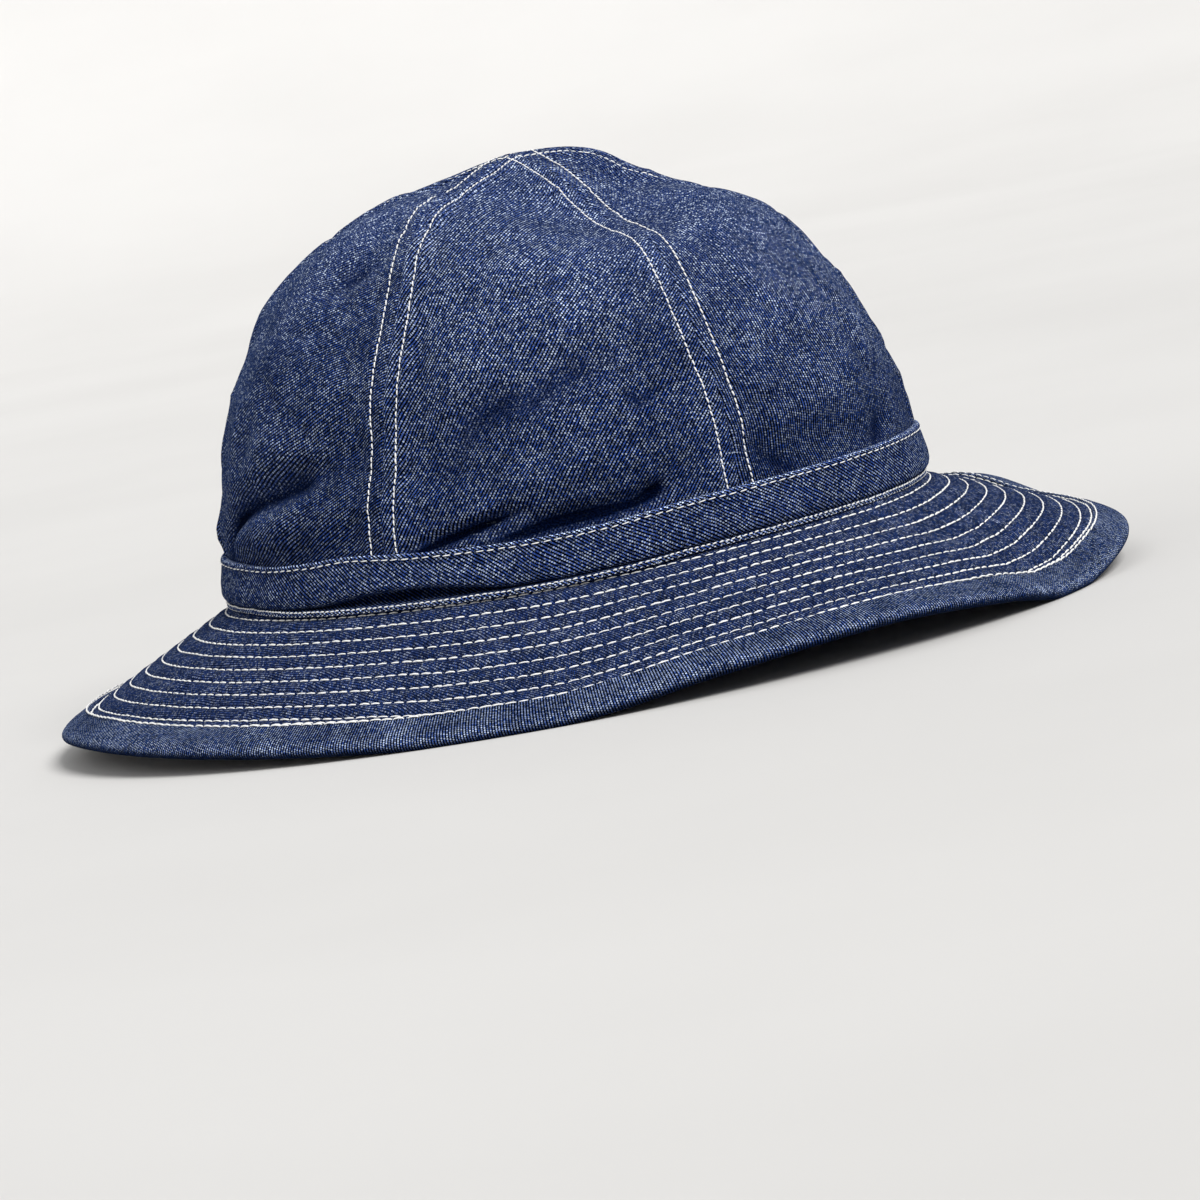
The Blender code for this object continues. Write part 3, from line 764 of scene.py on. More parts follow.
def band_cloth_surface(turn, height):
    """The band's outer face."""
    turn, height = alike(turn, height)
    out, sunk = band_profile(turn, height)
    station = behind_band(height)
    points = crown_form(turn, station) + out[..., None] * outward(crown_form, turn, station)
    return points - sunk[..., None] * np.array([0.0, 0.0, 1.0])


def crown_band():
    """The strip sewn round the foot of the crown."""
    turns, heights = alike(ring_turns(BAND_COLUMNS), smooth_heights(BAND_MESH_ROWS)[:, None])
    outer = band_cloth_surface(turns, heights)
    thin = np.minimum(CLOTH, band_profile(turns, heights)[0] - BAND_CLEARANCE)
    inner = outer - thin[..., None] * outward(crown_form, turns, behind_band(heights))
    inner[0, :, 2] = outer[0, :, 2]
    along = lengths_along(place(turns[0], base_reach(turns[0]), turns[0] * 0))
    climbed = np.cumsum(np.linalg.norm(np.diff(outer, axis=0, prepend=outer[:1]), axis=-1), axis=0)
    cloth = grain(np.stack(alike(along, climbed), -1), BAND_GRAIN, 7)
    # faded at the folded top and the ridge, with painted shade in the groove under the sag and under the
    # folded top
    wear_and_shade = sum(amount * bump(heights - height, half) for height, half, amount in BAND_WEAR_AND_SHADE) - BAND_SHADE
    return cloth_sheet("band_cloth", outer, inner, cloth, dict(wear_and_shade=wear_and_shade), closed=True)


def smooth_heights(count):
    """Heights up the band, closer together where its profile turns."""
    heights, plain, of_reach, of_sag, *_ = np.array(BAND_PROFILE).T
    lengths = lengths_along(np.stack([heights, plain + 3.0 * of_reach + of_sag], -1))
    return np.interp(np.linspace(0, lengths[-1], count + 1), lengths, heights)


def ring_turns(columns):
    """Turns once round the hat, with the last the same place as the first."""
    return (RING_START + np.linspace(0, 360, columns + 1))[None, :]


# Brim


def row_slant(number, turn):
    """Where one of the brim's single rows of stitches runs."""
    wander = ROW_WANDER * round_noise(turn, number * 3.3, 9.0, 31)
    return FIRST_ROW + number * smooth_round(ROW_PITCH, turn) + wander


def quilting(turn, slant):
    """How far the brim's face stands out between its rows of stitches, and sinks at each of them."""
    turn, slant = alike(turn, slant)
    phase = np.clip((slant - FIRST_ROW) / smooth_round(ROW_PITCH, turn), -1, SINGLE_ROWS)
    puff = np.abs(np.sin(np.pi * phase)) ** PUFF_SHAPE
    full = 1 + PUFF_VARIES * round_noise(turn, np.floor(phase) * 2.7, 6.0, 32)
    relief = PUFF * puff * full - CHANNEL + uneven(BRIM_PUCKERS, turn, slant) * (0.4 + 0.6 * puff)
    return relief * ease(slant, *QUILTED_FROM) * (1 - ease(slant, *QUILTED_TO))


def brim_face(turn, slant, offset):
    """The brim at this offset above the middle of its thickness."""
    turn, slant = alike(turn, slant)
    return brim_surface(turn, slant) - np.asarray(offset)[..., None] * outward(brim_surface, turn, slant)


def brim_top(turn, slant):
    """The upper ply's quilted face."""
    return brim_face(turn, slant, BRIM_TOP + quilting(turn, slant))


def brim_bottom(turn, slant):
    """The lower ply's quilted face."""
    return brim_face(turn, slant, -BRIM_TOP - UNDER_SHARE * quilting(turn, slant))


def brim_ply(name, face, inner_offset, columns, rows, number):
    """One ply of the brim: a quilted face, and a plain one against the other ply."""
    turns, slants = alike(ring_turns(columns), np.linspace(PLY_END, -SEAM_LAYERS, rows + 1)[:, None])
    outer, inner = face(turns, slants), brim_face(turns, slants, np.full(turns.shape, inner_offset))
    flat = place(turns, base_reach(turns) + slants, slants)[..., :2]
    cloth, looks = grain(flat, BRIM_GRAIN, number), dict(wear_and_shade=BRIM_WEAR * quilting(turns, slants))
    how = dict(finishes=("brim_denim",) * 2, closed=True, step=PLY_STEP, facing_down=inner_offset < 0)
    return cloth_sheet(name, outer, inner, cloth, looks, **how)


def binding_section():
    """The binding's closed section as (past the plies' edge, above their middle), round from the top leg."""
    leg = BINDING_WIDTH - EDGE_RADIUS
    top, bottom, bend = 2.15, -2.45, -0.9
    outer = [(-leg - 0.2, 1.45), (-leg - 0.35, 1.8), (-leg, 2.12), (-leg + 0.7, 2.3)]
    outer += [(x, top + 0.1) for x in np.linspace(-leg + 1.6, -1.4, 6)]
    for angle in np.radians(np.linspace(80, -80, 11)):
        height = np.sin(angle) * (top if angle > 0 else -bottom)
        outer.append((bend + (EDGE_RADIUS - bend) * np.cos(angle), height))
    outer += [(x, bottom) for x in np.linspace(-1.4, -leg + 0.8, 6)]
    outer += [(-leg - 0.3, bottom + 0.35), (-leg - 0.2, -1.4)]
    inner = [(-1.5, -1.3), (0.2, -1.2), (0.9, 0.0), (0.2, 1.2), (-1.5, 1.3)]
    return np.array(outer + inner)


def brim_binding():
    """The strip folded round the edge of the brim."""
    turns = ring_turns(BINDING_COLUMNS)
    section = binding_section()[::-1]
    past, above = section[:, :1], section[:, 1:]
    puff = uneven(BINDING_PUFF, turns, past)
    legs = np.abs(above) > LEG_HEIGHT
    above = above + np.sign(above) * legs * (puff - LEG_SINK)
    points = brim_face(turns, PLY_END + past, above)
    along = lengths_along(brim_surface(turns[0], BRIM_SLANT - 3.0))
    girth = lengths_along(np.concatenate([section, section[:1]]))
    cloth = grain(np.stack(alike(along, girth[:, None]), -1), BINDING_GRAIN, 9)
    faded = RIM_FADE[0] * bump(above - RIM_FADE[1], RIM_FADE[2])
    # painted shade under the rim
    dark = RIM_PAINTED_SHADE * ease(-above, *RIM_PAINTED_SHADE_DEPTHS)
    wear_and_shade = ease(past, *RIM) * (faded - dark) + PUFF_WEAR * puff * legs
    return cloth_tube("binding_cloth", points, cloth, dict(wear_and_shade=wear_and_shade), "binding_denim")


# Stitches


def stitch_row(surface, turns, seconds, stitch, rng):
    """A row's stitches: turns and seconds at STITCH_SHAPE's places, thickness, and shift to one side."""
    along, _, _, bows = np.array(STITCH_SHAPE).T
    lengths = lengths_along(surface(turns, seconds))
    count = int(lengths[-1] / stitch["pitch"])
    middles = (np.arange(count) + 0.5) * lengths[-1] / count
    middles = middles + rng.normal(0, PLACE_VARIES * stitch["pitch"], count)
    reach = stitch["length"] * rng.uniform(*LENGTH_VARIES, count)
    at = np.clip(middles[:, None] + (along - 0.5) * reach[:, None], 0, lengths[-1])
    thick = stitch["thick"] * THREAD * rng.uniform(*THICKNESS_VARIES, (count, 1))
    bow = stitch["bow"] * rng.uniform(*BOW_VARIES, (count, 1)) * bows
    lean = stitch["lean"] * rng.uniform(*LEAN_VARIES, (count, 1)) * (along - 0.5)
    shift = bow + lean + rng.normal(0, SHIFT_VARIES, (count, 1))
    return np.interp(at, lengths, turns), np.interp(at, lengths, seconds), thick, shift


def sew(name, surface, facing, rows, seed, sides=6):
    """Rows of stitches on a surface, as one mesh. Each row is (turns, seconds, how it is stitched)."""
    rng = np.random.default_rng(seed)
    _, lifts, widths, _ = np.array(STITCH_SHAPE).T
    stitches = [stitch_row(surface, *row, rng) for row in rows]
    turns, seconds, thick, shift = (np.concatenate(parts) for parts in zip(*stitches))
    up = facing * outward(surface, turns, seconds)
    centres = surface(turns, seconds) + (lifts * thick + THREAD_LIFT)[..., None] * up
    forward = unit(np.gradient(centres, axis=1))
    aside = unit(np.cross(up, forward))
    centres = centres + shift[..., None] * aside
    over = THREAD_FLATNESS * np.cross(forward, aside)
    angles = np.linspace(0, 2 * np.pi, sides, endpoint=False)[:, None]
    ring = np.cos(angles) * aside[:, :, None] + np.sin(angles) * over[:, :, None]
    return thread_mesh(name, centres[:, :, None] + (thick * widths)[..., None, None] * ring, centres)


def thread_mesh(name, rings, centres):
    """One mesh of closed stitches from their rings of points (stitch, ring, side, xyz)."""
    count, ring_count, sides = rings.shape[:3]
    points = np.concatenate([rings.reshape(count, -1, 3), centres[:, [0, -1]]], axis=1)
    offsets = (np.arange(count) * points.shape[1])[:, None, None]
    groups, cloth, bake = [], [], []
    cells = int(np.ceil(np.sqrt(count)))  # each stitch is baked in its own cell of a square
    cell = np.stack(np.divmod(np.arange(count), cells)[::-1], -1)[:, None, None]
    for corners, spots in thread_faces(ring_count, sides):
        groups.append((corners + offsets).reshape(-1, corners.shape[1]))
        cloth.append((spots * STITCH_ON_MAP + cell * STITCHES_APART).reshape(-1, 2))
        bake.append(((cell + CELL_MARGIN + (1 - 2 * CELL_MARGIN) * spots) / cells).reshape(-1, 2))
    obj = mesh_object(name, points.reshape(-1, 3), groups, ["thread"])
    set_maps(obj.data, np.concatenate(cloth), np.concatenate(bake))
    return obj


def thread_faces(ring_count, sides):
    """One stitch's side and end faces: their corners, and how far along and round it each corner is."""
    side = np.arange(sides)
    beside = (side + 1) % sides
    low = sides * np.arange(ring_count - 1)[:, None]
    quads = np.stack([low + side, low + beside, low + sides + beside, low + sides + side], -1).reshape(-1, 4)
    round_quads = np.tile(np.stack([side, side + 1, side + 1, side], -1), (ring_count - 1, 1))
    last, tip = sides * (ring_count - 1), sides * ring_count
    near = np.stack(np.broadcast_arrays(beside, side, tip), -1)
    far = np.stack(np.broadcast_arrays(last + side, last + beside, tip + 1), -1)
    round_near = np.stack([side + 1, side, side + 0.5], -1)
    caps, round_caps = np.concatenate([near, far]), np.concatenate([round_near, round_near[:, [1, 0, 2]]])
    lengthwise = np.append(np.repeat(np.linspace(0, 1, ring_count), sides), [0, 1])
    pairs = ((quads, round_quads), (caps, round_caps))
    return [(corners, np.stack([lengthwise[corners], turned / sides], -1)) for corners, turned in pairs]


def crown_rows():
    """Two rows beside each crown seam, straight on until they cross at the apex."""
    rows = []
    for number, (seam, _) in enumerate(CROWN_SEAMS):
        stations = np.concatenate([np.linspace(*part) for part in CROWN_ROW_PARTS])
        reach = crown_reach(np.full(stations.shape, seam), stations)
        keep = reach > SEAM_ROW + 0.15
        stations, reach = stations[keep], reach[keep]
        for side in (-1, 1):
            wander = 0.15 * soft_noise(np.stack(alike(stations * 1.3, 3 * number, side), -1), 51)
            turns = seam + side * np.degrees(np.arcsin(np.clip((SEAM_ROW + wander) / reach, -1, 1)))
            rows.append((turns, stations, CROWN_STITCH))
    return rows


def brim_rows():
    """The single rows, and the double one along the binding."""
    turns = np.linspace(0, 360, ROW_POINTS)
    rows = [(turns, row_slant(number, turns), BRIM_STITCH) for number in range(SINGLE_ROWS)]
    outer = OUTER_ROW + 0.15 * round_noise(turns, 0.0, 12.0, 61)
    rows.append((turns, outer, BRIM_STITCH))
    rows.append((turns + 0.8, outer - smooth_round(SECOND_PASS, turns), BRIM_STITCH))
    return rows


def band_rows():
    """The two rows at the band's foot, and the one under its folded top."""
    turns = np.linspace(0, 360, ROW_POINTS)
    rows = []
    for height, pitch, length, thick in BAND_ROWS:
        stitch = dict(pitch=pitch, length=length, thick=thick, bow=0.05, lean=0.12)
        rows.append((turns, height + 0.10 * round_noise(turns, height, 9.0, 71), stitch))
    return rows


def outer_row_surface(turn, slant):
    """What the outer rows lie on: the brim, and 1 mm above it where they are on the binding's leg."""
    return brim_face(turn, slant, BRIM_TOP + quilting(turn, slant) + ease(slant, *BINDING_LEG))


# Meshes


def grain(points, degrees, number):
    """Cloth coordinates turned to the grain, each piece from its own place on the cloth."""
    angle = np.radians(-degrees)
    x, y = points[..., 0], points[..., 1]
    turned = np.stack([x * np.cos(angle) - y * np.sin(angle), x * np.sin(angle) + y * np.cos(angle)], -1)
    return turned + (431.0 * number + 300, 173.0 * number + 300)


def grid_normals(points):
    """Unit normals of a grid whose rows go up and whose columns go round."""
    return unit(np.cross(np.gradient(points, axis=1), np.gradient(points, axis=0)))


def base_middle():
    """Where the source puts the middle of the base oval, with the hat's outline centred on the origin."""
    edge = brim_surface(np.linspace(0, 360, 72, endpoint=False), BRIM_SLANT)
    return -(edge.min(axis=0) + edge.max(axis=0)) / 2


MIDDLE = base_middle()


def in_frame(points):
    """Points of the crown seam's frame, in the CAD's frame and in metres."""
    points = np.array(points, float)
    points[:, :2] += MIDDLE[:2]
    points[:, 2] = np.maximum(points[:, 2] + SEAM_HEIGHT, 0)
    return points * MM


def mesh_object(name, points, face_groups, finishes, slots=None):
    """A smooth-shaded mesh object. Face groups are arrays of faces with the same number of corners."""
    mesh = bpy.data.meshes.new(name)
    sizes = np.concatenate([np.full(len(group), group.shape[1]) for group in face_groups])
    corners = np.concatenate([group.reshape(-1) for group in face_groups])
    mesh.vertices.add(len(points))
    mesh.vertices.foreach_set("co", in_frame(points).reshape(-1).astype(np.float32))
    mesh.loops.add(len(corners))
    mesh.loops.foreach_set("vertex_index", corners.astype(np.int32))
    mesh.polygons.add(len(sizes))
    mesh.polygons.foreach_set("loop_start", np.append(0, np.cumsum(sizes)[:-1]).astype(np.int32))
    mesh.update(calc_edges=True)
    mesh.validate()
    mesh.shade_smooth()
    mesh.set_sharp_from_angle(angle=np.radians(SHARP_FROM))
    for finish in finishes:
        mesh.materials.append(material(finish))
    if slots is not None:
        mesh.polygons.foreach_set("material_index", slots.astype(np.int32))
    obj = bpy.data.objects.new(name, mesh)
    bpy.context.scene.collection.objects.link(obj)
    return obj


def set_maps(mesh, cloth, bake):
    """The cloth's own coordinates in millimetres, and the layout that the finish is baked to."""
    for name, values in (("cloth", cloth), ("OFBake", bake)):
        layer = mesh.uv_layers.new(name=name)
        layer.uv.foreach_set("vector", np.asarray(values, np.float32).reshape(-1))


def set_attribute(mesh, name, values):
    """One number for each point, which the finishes read by this name."""
    attribute = mesh.attributes.new(name, "FLOAT", "POINT")
    attribute.data.foreach_set("value", np.asarray(values, np.float32).reshape(-1))


class Wall:
    """One face of a piece of cloth, with every so many rows and columns of the piece's full grid."""

    def __init__(self, full, step=1, start=0, closed=False, tube=False):
        self.step, self.start = step, start
        self.rows, self.columns = (full.shape[0] - 1) // step, (full.shape[1] - 1) // step
        self.point_rows, self.point_columns = self.rows + (not tube), self.columns + (not closed)
        self.end = start + self.point_rows * self.point_columns

    def at(self, row, column):
        """The number of the point at this row and column."""
        return self.start + row % self.point_rows * self.point_columns + column % self.point_columns

    def of(self, values):
        """What a full grid's values are at this wall's points."""
        kept = values[:: self.step, :: self.step][: self.point_rows, : self.point_columns]
        return kept.reshape(-1, *values.shape[2:])

    def faces(self, cloth, size, strips, first_patch=0, turned_over=False):
        """Its faces: their corners' points, places on the cloth and places laid flat, and their patches."""
        row, column = np.indices((self.rows, self.columns)).reshape(2, -1)
        corners = [(row, column), (row, column + 1), (row + 1, column + 1), (row + 1, column)]
        if turned_over:
            corners = corners[:1] + corners[:0:-1]
        ids = [self.at(r, c) for r, c in corners]
        on_cloth = [cloth[r * self.step, c * self.step] for r, c in corners]
        flat = [np.stack([c * size[0] / self.columns, r * size[1] / self.rows], -1) for r, c in corners]
        patch = first_patch + np.minimum(column * strips // self.columns, strips - 1)
        return np.stack(ids, -1), np.stack(on_cloth, 1), np.stack(flat, 1), patch


def rim(seen, unseen, cloth, size, axis, at_end, patch):
    """The faces along one edge of a piece, from the seen wall's points to the unseen wall's fewer ones."""
    step = unseen.step
    first = step * np.arange((unseen.columns, unseen.rows)[axis])[:, None]
    hidden = np.array([0] * (step + 1) + [1, 1])
    edge = (seen.rows, seen.columns)[axis] * at_end
    places, edges = np.broadcast_arrays(first + [*range(step, -1, -1), 0, step], edge)
    row, column = (edges, places) if axis == 0 else (places, edges)
    ids = np.where(hidden, unseen.at(row // step, column // step), seen.at(row, column))
    on_cloth = cloth[row, column] + HIDDEN_SHIFT * hidden[:, None]
    spacing = size[axis] / (seen.columns, seen.rows)[axis]
    flat = np.stack(np.broadcast_arrays(places * spacing, CLOTH * hidden), -1)
    faces = ids, on_cloth, flat, np.full(len(first), patch)
    return flipped(faces) if (axis == 0) == at_end else faces


def flipped(faces):
    """Faces that look the other way."""
    *corners, patch = faces
    return *(values[:, ::-1] for values in corners), patch


def cloth_sheet(name, outer, inner, cloth, looks, finishes=SIDES, closed=False, step=2, facing_down=False):
    """A closed piece of cloth between the wall that is seen and one with every so many rows and columns."""
    size = grid_size(outer)
    strips = strip_count(*size)
    seen = Wall(outer, closed=closed)
    unseen = Wall(outer, step, seen.end, closed)
    groups = [seen.faces(cloth, size, strips), unseen.faces(cloth, size, strips, strips, turned_over=True)]
    edges = [(0, False), (0, True), (1, False), (1, True)]
    for number, (axis, at_end) in enumerate(edges[:2] if closed else edges):
        groups.append(rim(seen, unseen, cloth, size, axis, at_end, 2 * strips + number))
    if facing_down:
        groups = [flipped(faces) for faces in groups]
    slots = np.concatenate([np.full(len(ids), number == 1) for number, (ids, *_) in enumerate(groups)])
    points = np.concatenate([seen.of(outer), unseen.of(inner)])
    looks = {look: np.concatenate([seen.of(values), unseen.of(values)]) for look, values in looks.items()}
    return cloth_object(name, points, groups, looks, finishes, slots)


def cloth_tube(name, points, cloth, looks, finish):
    """A closed section carried round the hat: rows go round the section, columns round the hat."""
    around = np.concatenate([points, points[:1]])
    width, height = grid_size(around)
    tube = Wall(around, closed=True, tube=True)
    groups = [tube.faces(cloth, (width, height), strip_count(2 * width, height))]
    looks = {look: tube.of(values) for look, values in looks.items()}
    return cloth_object(name, tube.of(around), groups, looks, [finish])


def cloth_object(name, points, groups, looks, finishes, slots=None):
    """A piece of cloth from its points, its groups of faces and what its finish reads at each point."""
    ids, on_cloth, flat, patches = zip(*groups)
    obj = mesh_object(name, points, ids, finishes, slots)
    set_maps(obj.data, np.concatenate([places.reshape(-1, 2) for places in on_cloth]), packed(patches, flat))
    for look, values in looks.items():
        set_attribute(obj.data, look, values)
    return obj


def grid_size(points):
    """A grid's mean width and height."""
    width = np.linalg.norm(np.diff(points, axis=1), axis=-1).sum(axis=1).mean()
    height = np.linalg.norm(np.diff(points, axis=0), axis=-1).sum(axis=0).mean()
    return width, height


def strip_count(width, height):
    """Into how many strips a long grid is cut, so that it fills a square."""
    return max(1, int(round(np.sqrt(width / height / 2))))


def packed(patches, flat):
    """Places each patch of faces in the unit square, at one scale, on shelves, with the tallest first."""
    corners = []
    for number in range(max(patch.max() for patch in patches) + 1):
        inside = [spots[patch == number].reshape(-1, 2) for patch, spots in zip(patches, flat)]
        corners.append(np.concatenate(inside))
    lows = np.array([spots.min(axis=0) for spots in corners])
    sizes = np.array([spots.max(axis=0) for spots in corners]) - lows
    tall_first = np.argsort(-sizes[:, 1], kind="stable")
    sizes = sizes + 2 * PATCH_MARGIN
    side = np.sqrt(np.prod(sizes, axis=1).sum())
    while (places := on_shelves(sizes[tall_first], side)) is None:
        side *= 1.02
    moves = np.zeros(lows.shape)
    moves[tall_first] = np.array(places) + PATCH_MARGIN - lows[tall_first]
    moved = [(spots + moves[patch][:, None]) / side for patch, spots in zip(patches, flat)]
    return np.concatenate([spots.reshape(-1, 2) for spots in moved])


def on_shelves(sizes, side):
    """Where each size goes in a square of this side, or None if they don't all fit."""
    places, x, y, shelf = [], 0.0, 0.0, 0.0
    for wide, tall in sizes:
        if x + wide > side and x > 0:
            x, y, shelf = 0.0, y + shelf, 0.0
        places.append((x, y))
        x, shelf = x + wide, max(shelf, tall)
    return places if max(y + shelf, *sizes[:, 0]) <= side else None


# Materials


class Value:
    """What a node gives out. Arithmetic with it makes more nodes."""

    def __init__(self, nodes, socket):
        self.nodes, self.socket = nodes, socket

    def __add__(self, other):
        return self.nodes.math("ADD", self, other)

    def __sub__(self, other):
        return self.nodes.math("SUBTRACT", self, other)

    def __mul__(self, other):
        return self.nodes.math("MULTIPLY", self, other)

    def __truediv__(self, other):
        return self.nodes.math("DIVIDE", self, other)

    def __pow__(self, other):
        return self.nodes.math("POWER", self, other)


class Nodes:
    """Builds one material's nodes."""

    def __init__(self, name):
        self.material = bpy.data.materials.new(name)
        self.material.use_nodes = True
        self.tree = self.material.node_tree
        self.shader = self.tree.nodes["Principled BSDF"]

    def put(self, socket, value):
        if isinstance(value, Value):
            self.tree.links.new(value.socket, socket)
        else:
            socket.default_value = value

    def add(self, kind, inputs, output=0, **settings):
        """A new node's output, with its inputs by name or number."""
        node = self.tree.nodes.new("ShaderNode" + kind)
        for key, value in settings.items():
            setattr(node, key, value)
        for key, value in inputs.items():
            self.put(node.inputs[key], value)
        return Value(self, node.outputs[output])

    def math(self, operation, *values):
        return self.add("Math", dict(enumerate(values)), operation=operation)

    def vector(self, x, y, z=0.0):
        return self.add("CombineXYZ", {"X": x, "Y": y, "Z": z})

    def split(self, vector):
        """A vector's x and y."""
        return [self.add("SeparateXYZ", {"Vector": vector}, axis) for axis in (0, 1)]

    def mix(self, factor, first, second):
        """A colour between two, each an output or (red, green, blue)."""
        ends = [colour if isinstance(colour, Value) else (*colour, 1) for colour in (first, second)]
        return self.add("Mix", {0: factor, 6: ends[0], 7: ends[1]}, 2, data_type="RGBA")

    def times(self, colour, amount):
        """A colour made lighter or darker."""
        return self.add("VectorMath", {0: colour, "Scale": amount}, operation="SCALE")

    def noise(self, vector, detail=2.0, roughness=0.5):
        """Noise from 0 to 1, one lump to a unit."""
        inputs = {"Vector": vector, "Scale": 1.0, "Detail": detail, "Roughness": roughness}
        return self.add("TexNoise", inputs)

    def random(self, x, y, z):
        """A number from 0 to 1 for each whole place."""
        return self.add("TexWhiteNoise", {"Vector": self.vector(x, y, z)})

    def scaled(self, value, low, high, to_low, to_high):
        """A value carried from one range to another, and held inside it."""
        inputs = {"Value": value, "From Min": low, "From Max": high, "To Min": to_low, "To Max": to_high}
        return self.add("MapRange", inputs, clamp=True)

    def cloth(self):
        """The cloth's own coordinates, in millimetres."""
        return self.split(self.add("UVMap", {}, uv_map="cloth"))

    def attribute(self, name):
        return self.add("Attribute", {}, "Fac", attribute_name=name)

    def shade(self, inputs):
        """Sets or links the shader's inputs."""
        for key, value in inputs.items():
            self.put(self.shader.inputs[key], value)

    def relief(self, height, deep, strength):
        """A normal bent by the height, which is so many millimetres deep."""
        return self.add("Bump", {"Strength": strength, "Distance": deep * MM, "Height": height})


# Weaves: warp and weft pitch in mm, the dots' size, the yarns' colours, how light the painted shade is
# between two twill lines, how few of the dots are bright, how much of the dots shows, and how far the yarns
# wander
WEAVES = {
    "denim": dict(
        warp=0.32, weft=0.65, dot=(0.25, 0.27), indigo=(0.013, 0.052, 0.275), pale=(0.68, 0.80, 1.0),
        gap=0.01, rarity=2.1, white=1.04, wander=1.0,
    ),
    "brim_denim": dict(
        warp=0.33, weft=0.52, dot=(0.27, 0.25), indigo=(0.010, 0.029, 0.128), pale=(0.76, 0.85, 1.0),
        gap=0.37, rarity=3.2, white=0.38, wander=3.0,
    ),
    "binding_denim": dict(
        warp=0.29, weft=0.60, dot=(0.23, 0.24), indigo=(0.014, 0.048, 0.22), pale=(0.68, 0.80, 1.0),
        gap=0.03, rarity=1.1, white=0.62, wander=0.5,
    ),
    "denim_reverse": dict(
        warp=0.32, weft=0.65, dot=(0.28, 0.28), indigo=(0.22, 0.28, 0.42), pale=(0.84, 0.87, 0.92),
        gap=0.45, rarity=0.7, white=1.0, wander=1.0,
    ),
}


def wandering(n, wander):
    """The cloth's coordinates, shifted by up to half the wander as its yarns drift."""
    x, y = n.cloth()
    places = n.vector(x / 12.0, y / 12.0)
    drift_x, drift_y = n.split(n.add("TexNoise", {"Vector": places, "Scale": 1.0, "Detail": 0.0}, 1))
    return x + (drift_x - 0.5) * wander, y + (drift_y - 0.5) * wander


def twill(n, x, y, warp, weft, dot):
    """The dots, the lines' ridges, the painted light and shade of each float, lit between the dots and dark
    beside them, and each float's and each dot's own chance.
    """
    column, row = x / warp, y / weft
    along, across = row - 0.5, (column - row) / 3.0
    nearest, line = n.math("ROUND", along), n.math("ROUND", across)
    from_dot, from_line = along - nearest, across - line
    off_x = from_dot * (warp / dot[0]) + from_line * (3 * warp / dot[0])
    off_y = from_dot * (weft / dot[1])
    spot = n.scaled(off_x * off_x + off_y * off_y, 1.1, 0.55, 0.0, 1.0)
    ridge = n.scaled(n.math("COSINE", from_line * (2 * np.pi)), -0.2, 0.85, 0.0, 1.0)
    between = n.scaled(n.math("ABSOLUTE", from_dot), 0.1, 0.45, 0.4, 1.3)
    return spot, ridge, between, n.random(n.math("FLOOR", along), line, 7.0), n.random(nearest, line, 3.0)


def denim(name, warp, weft, dot, indigo, pale, gap, rarity, white, wander):
    """Twill: lines of blue warp floats with painted near-black shade between them, and dots of pale weft on
    the lines.
    """
    n = Nodes(name)
    x, y = wandering(n, wander)
    spot, ridge, between, float_chance, dot_chance = twill(n, x, y, warp, weft, dot)
    # the yarns
    warp_slub = n.noise(n.vector(x / 0.45, y / 9.0))
    weft_slub = n.noise(n.vector(x / 7.0, y / 0.75, 4.0))
    # painted shade: near-black between the twill lines, and each float lit in its middle and dark at its ends
    depth = n.scaled(ridge, 0.0, 1.0, gap, 1.0) * n.scaled(float_chance, 0.0, 1.0, 0.45, 1.65)
    depth = depth * between * n.scaled(warp_slub, 0.3, 0.7, 0.8, 1.2)
    bright = (dot_chance**rarity * 0.9 + 0.04) * n.scaled(weft_slub, 0.3, 0.7, 0.88, 1.12)
    bright = bright * n.scaled(weft_slub, 0.62, 0.74, 1.0, 1.45)
    # the nap that has closed over them, with neps in it and a few dots peeping through
    nap = n.attribute("nap")
    hidden = n.math("SUBTRACT", 1.0, nap)
    neps = n.noise(n.vector(x / 0.42, y / 0.42, 6.0))
    depth = depth * hidden + n.scaled(neps, 0.40, 0.58, 0.0, 0.84) * nap
    peeping = spot * n.scaled(dot_chance, 0.74, 0.92, 0.0, 1.25) + n.scaled(neps, 0.52, 0.66, 0.0, 0.34)
    shown = spot * bright * hidden + nap * peeping + n.scaled(neps, 0.65, 0.72, 0.0, 0.75)
    # wear, which bares the pale yarn, and painted light and shade, which the same attribute carries
    patch = n.noise(n.vector(x / 11.0, y / 11.0, 9.0), 4.0, 0.6)
    worn_and_shaded = n.math("MAXIMUM", n.attribute("wear_and_shade") * 0.5 + 1.0, 0.08) * n.scaled(patch, 0.3, 0.7, 0.82, 1.18)
    shown = n.math("MINIMUM", shown * (worn_and_shaded * white), 1.0)
    # the yarns' relief, and the shader
    fuzz = n.noise(n.vector(x / 0.5, y / 0.5, 2.0), 3.0, 0.7)
    height = n.math("MAXIMUM", ridge, spot * 0.9) + fuzz * 0.35
    colour = n.times(n.mix(shown, n.times(indigo, depth), pale), n.scaled(worn_and_shaded, 0.08, 1.8, 0.08, 1.45))
    n.shade({"Base Color": colour, "Roughness": n.scaled(ridge, 0.0, 1.0, 0.95, 0.75)})
    n.shade({"Specular IOR Level": 0.0, "Normal": n.relief(height, 0.10, hidden * 0.5)})
    n.shade({"Sheen Weight": 0.04, "Sheen Roughness": 0.4, "Sheen Tint": (0.20, 0.40, 1.0, 1)})
    return n.material


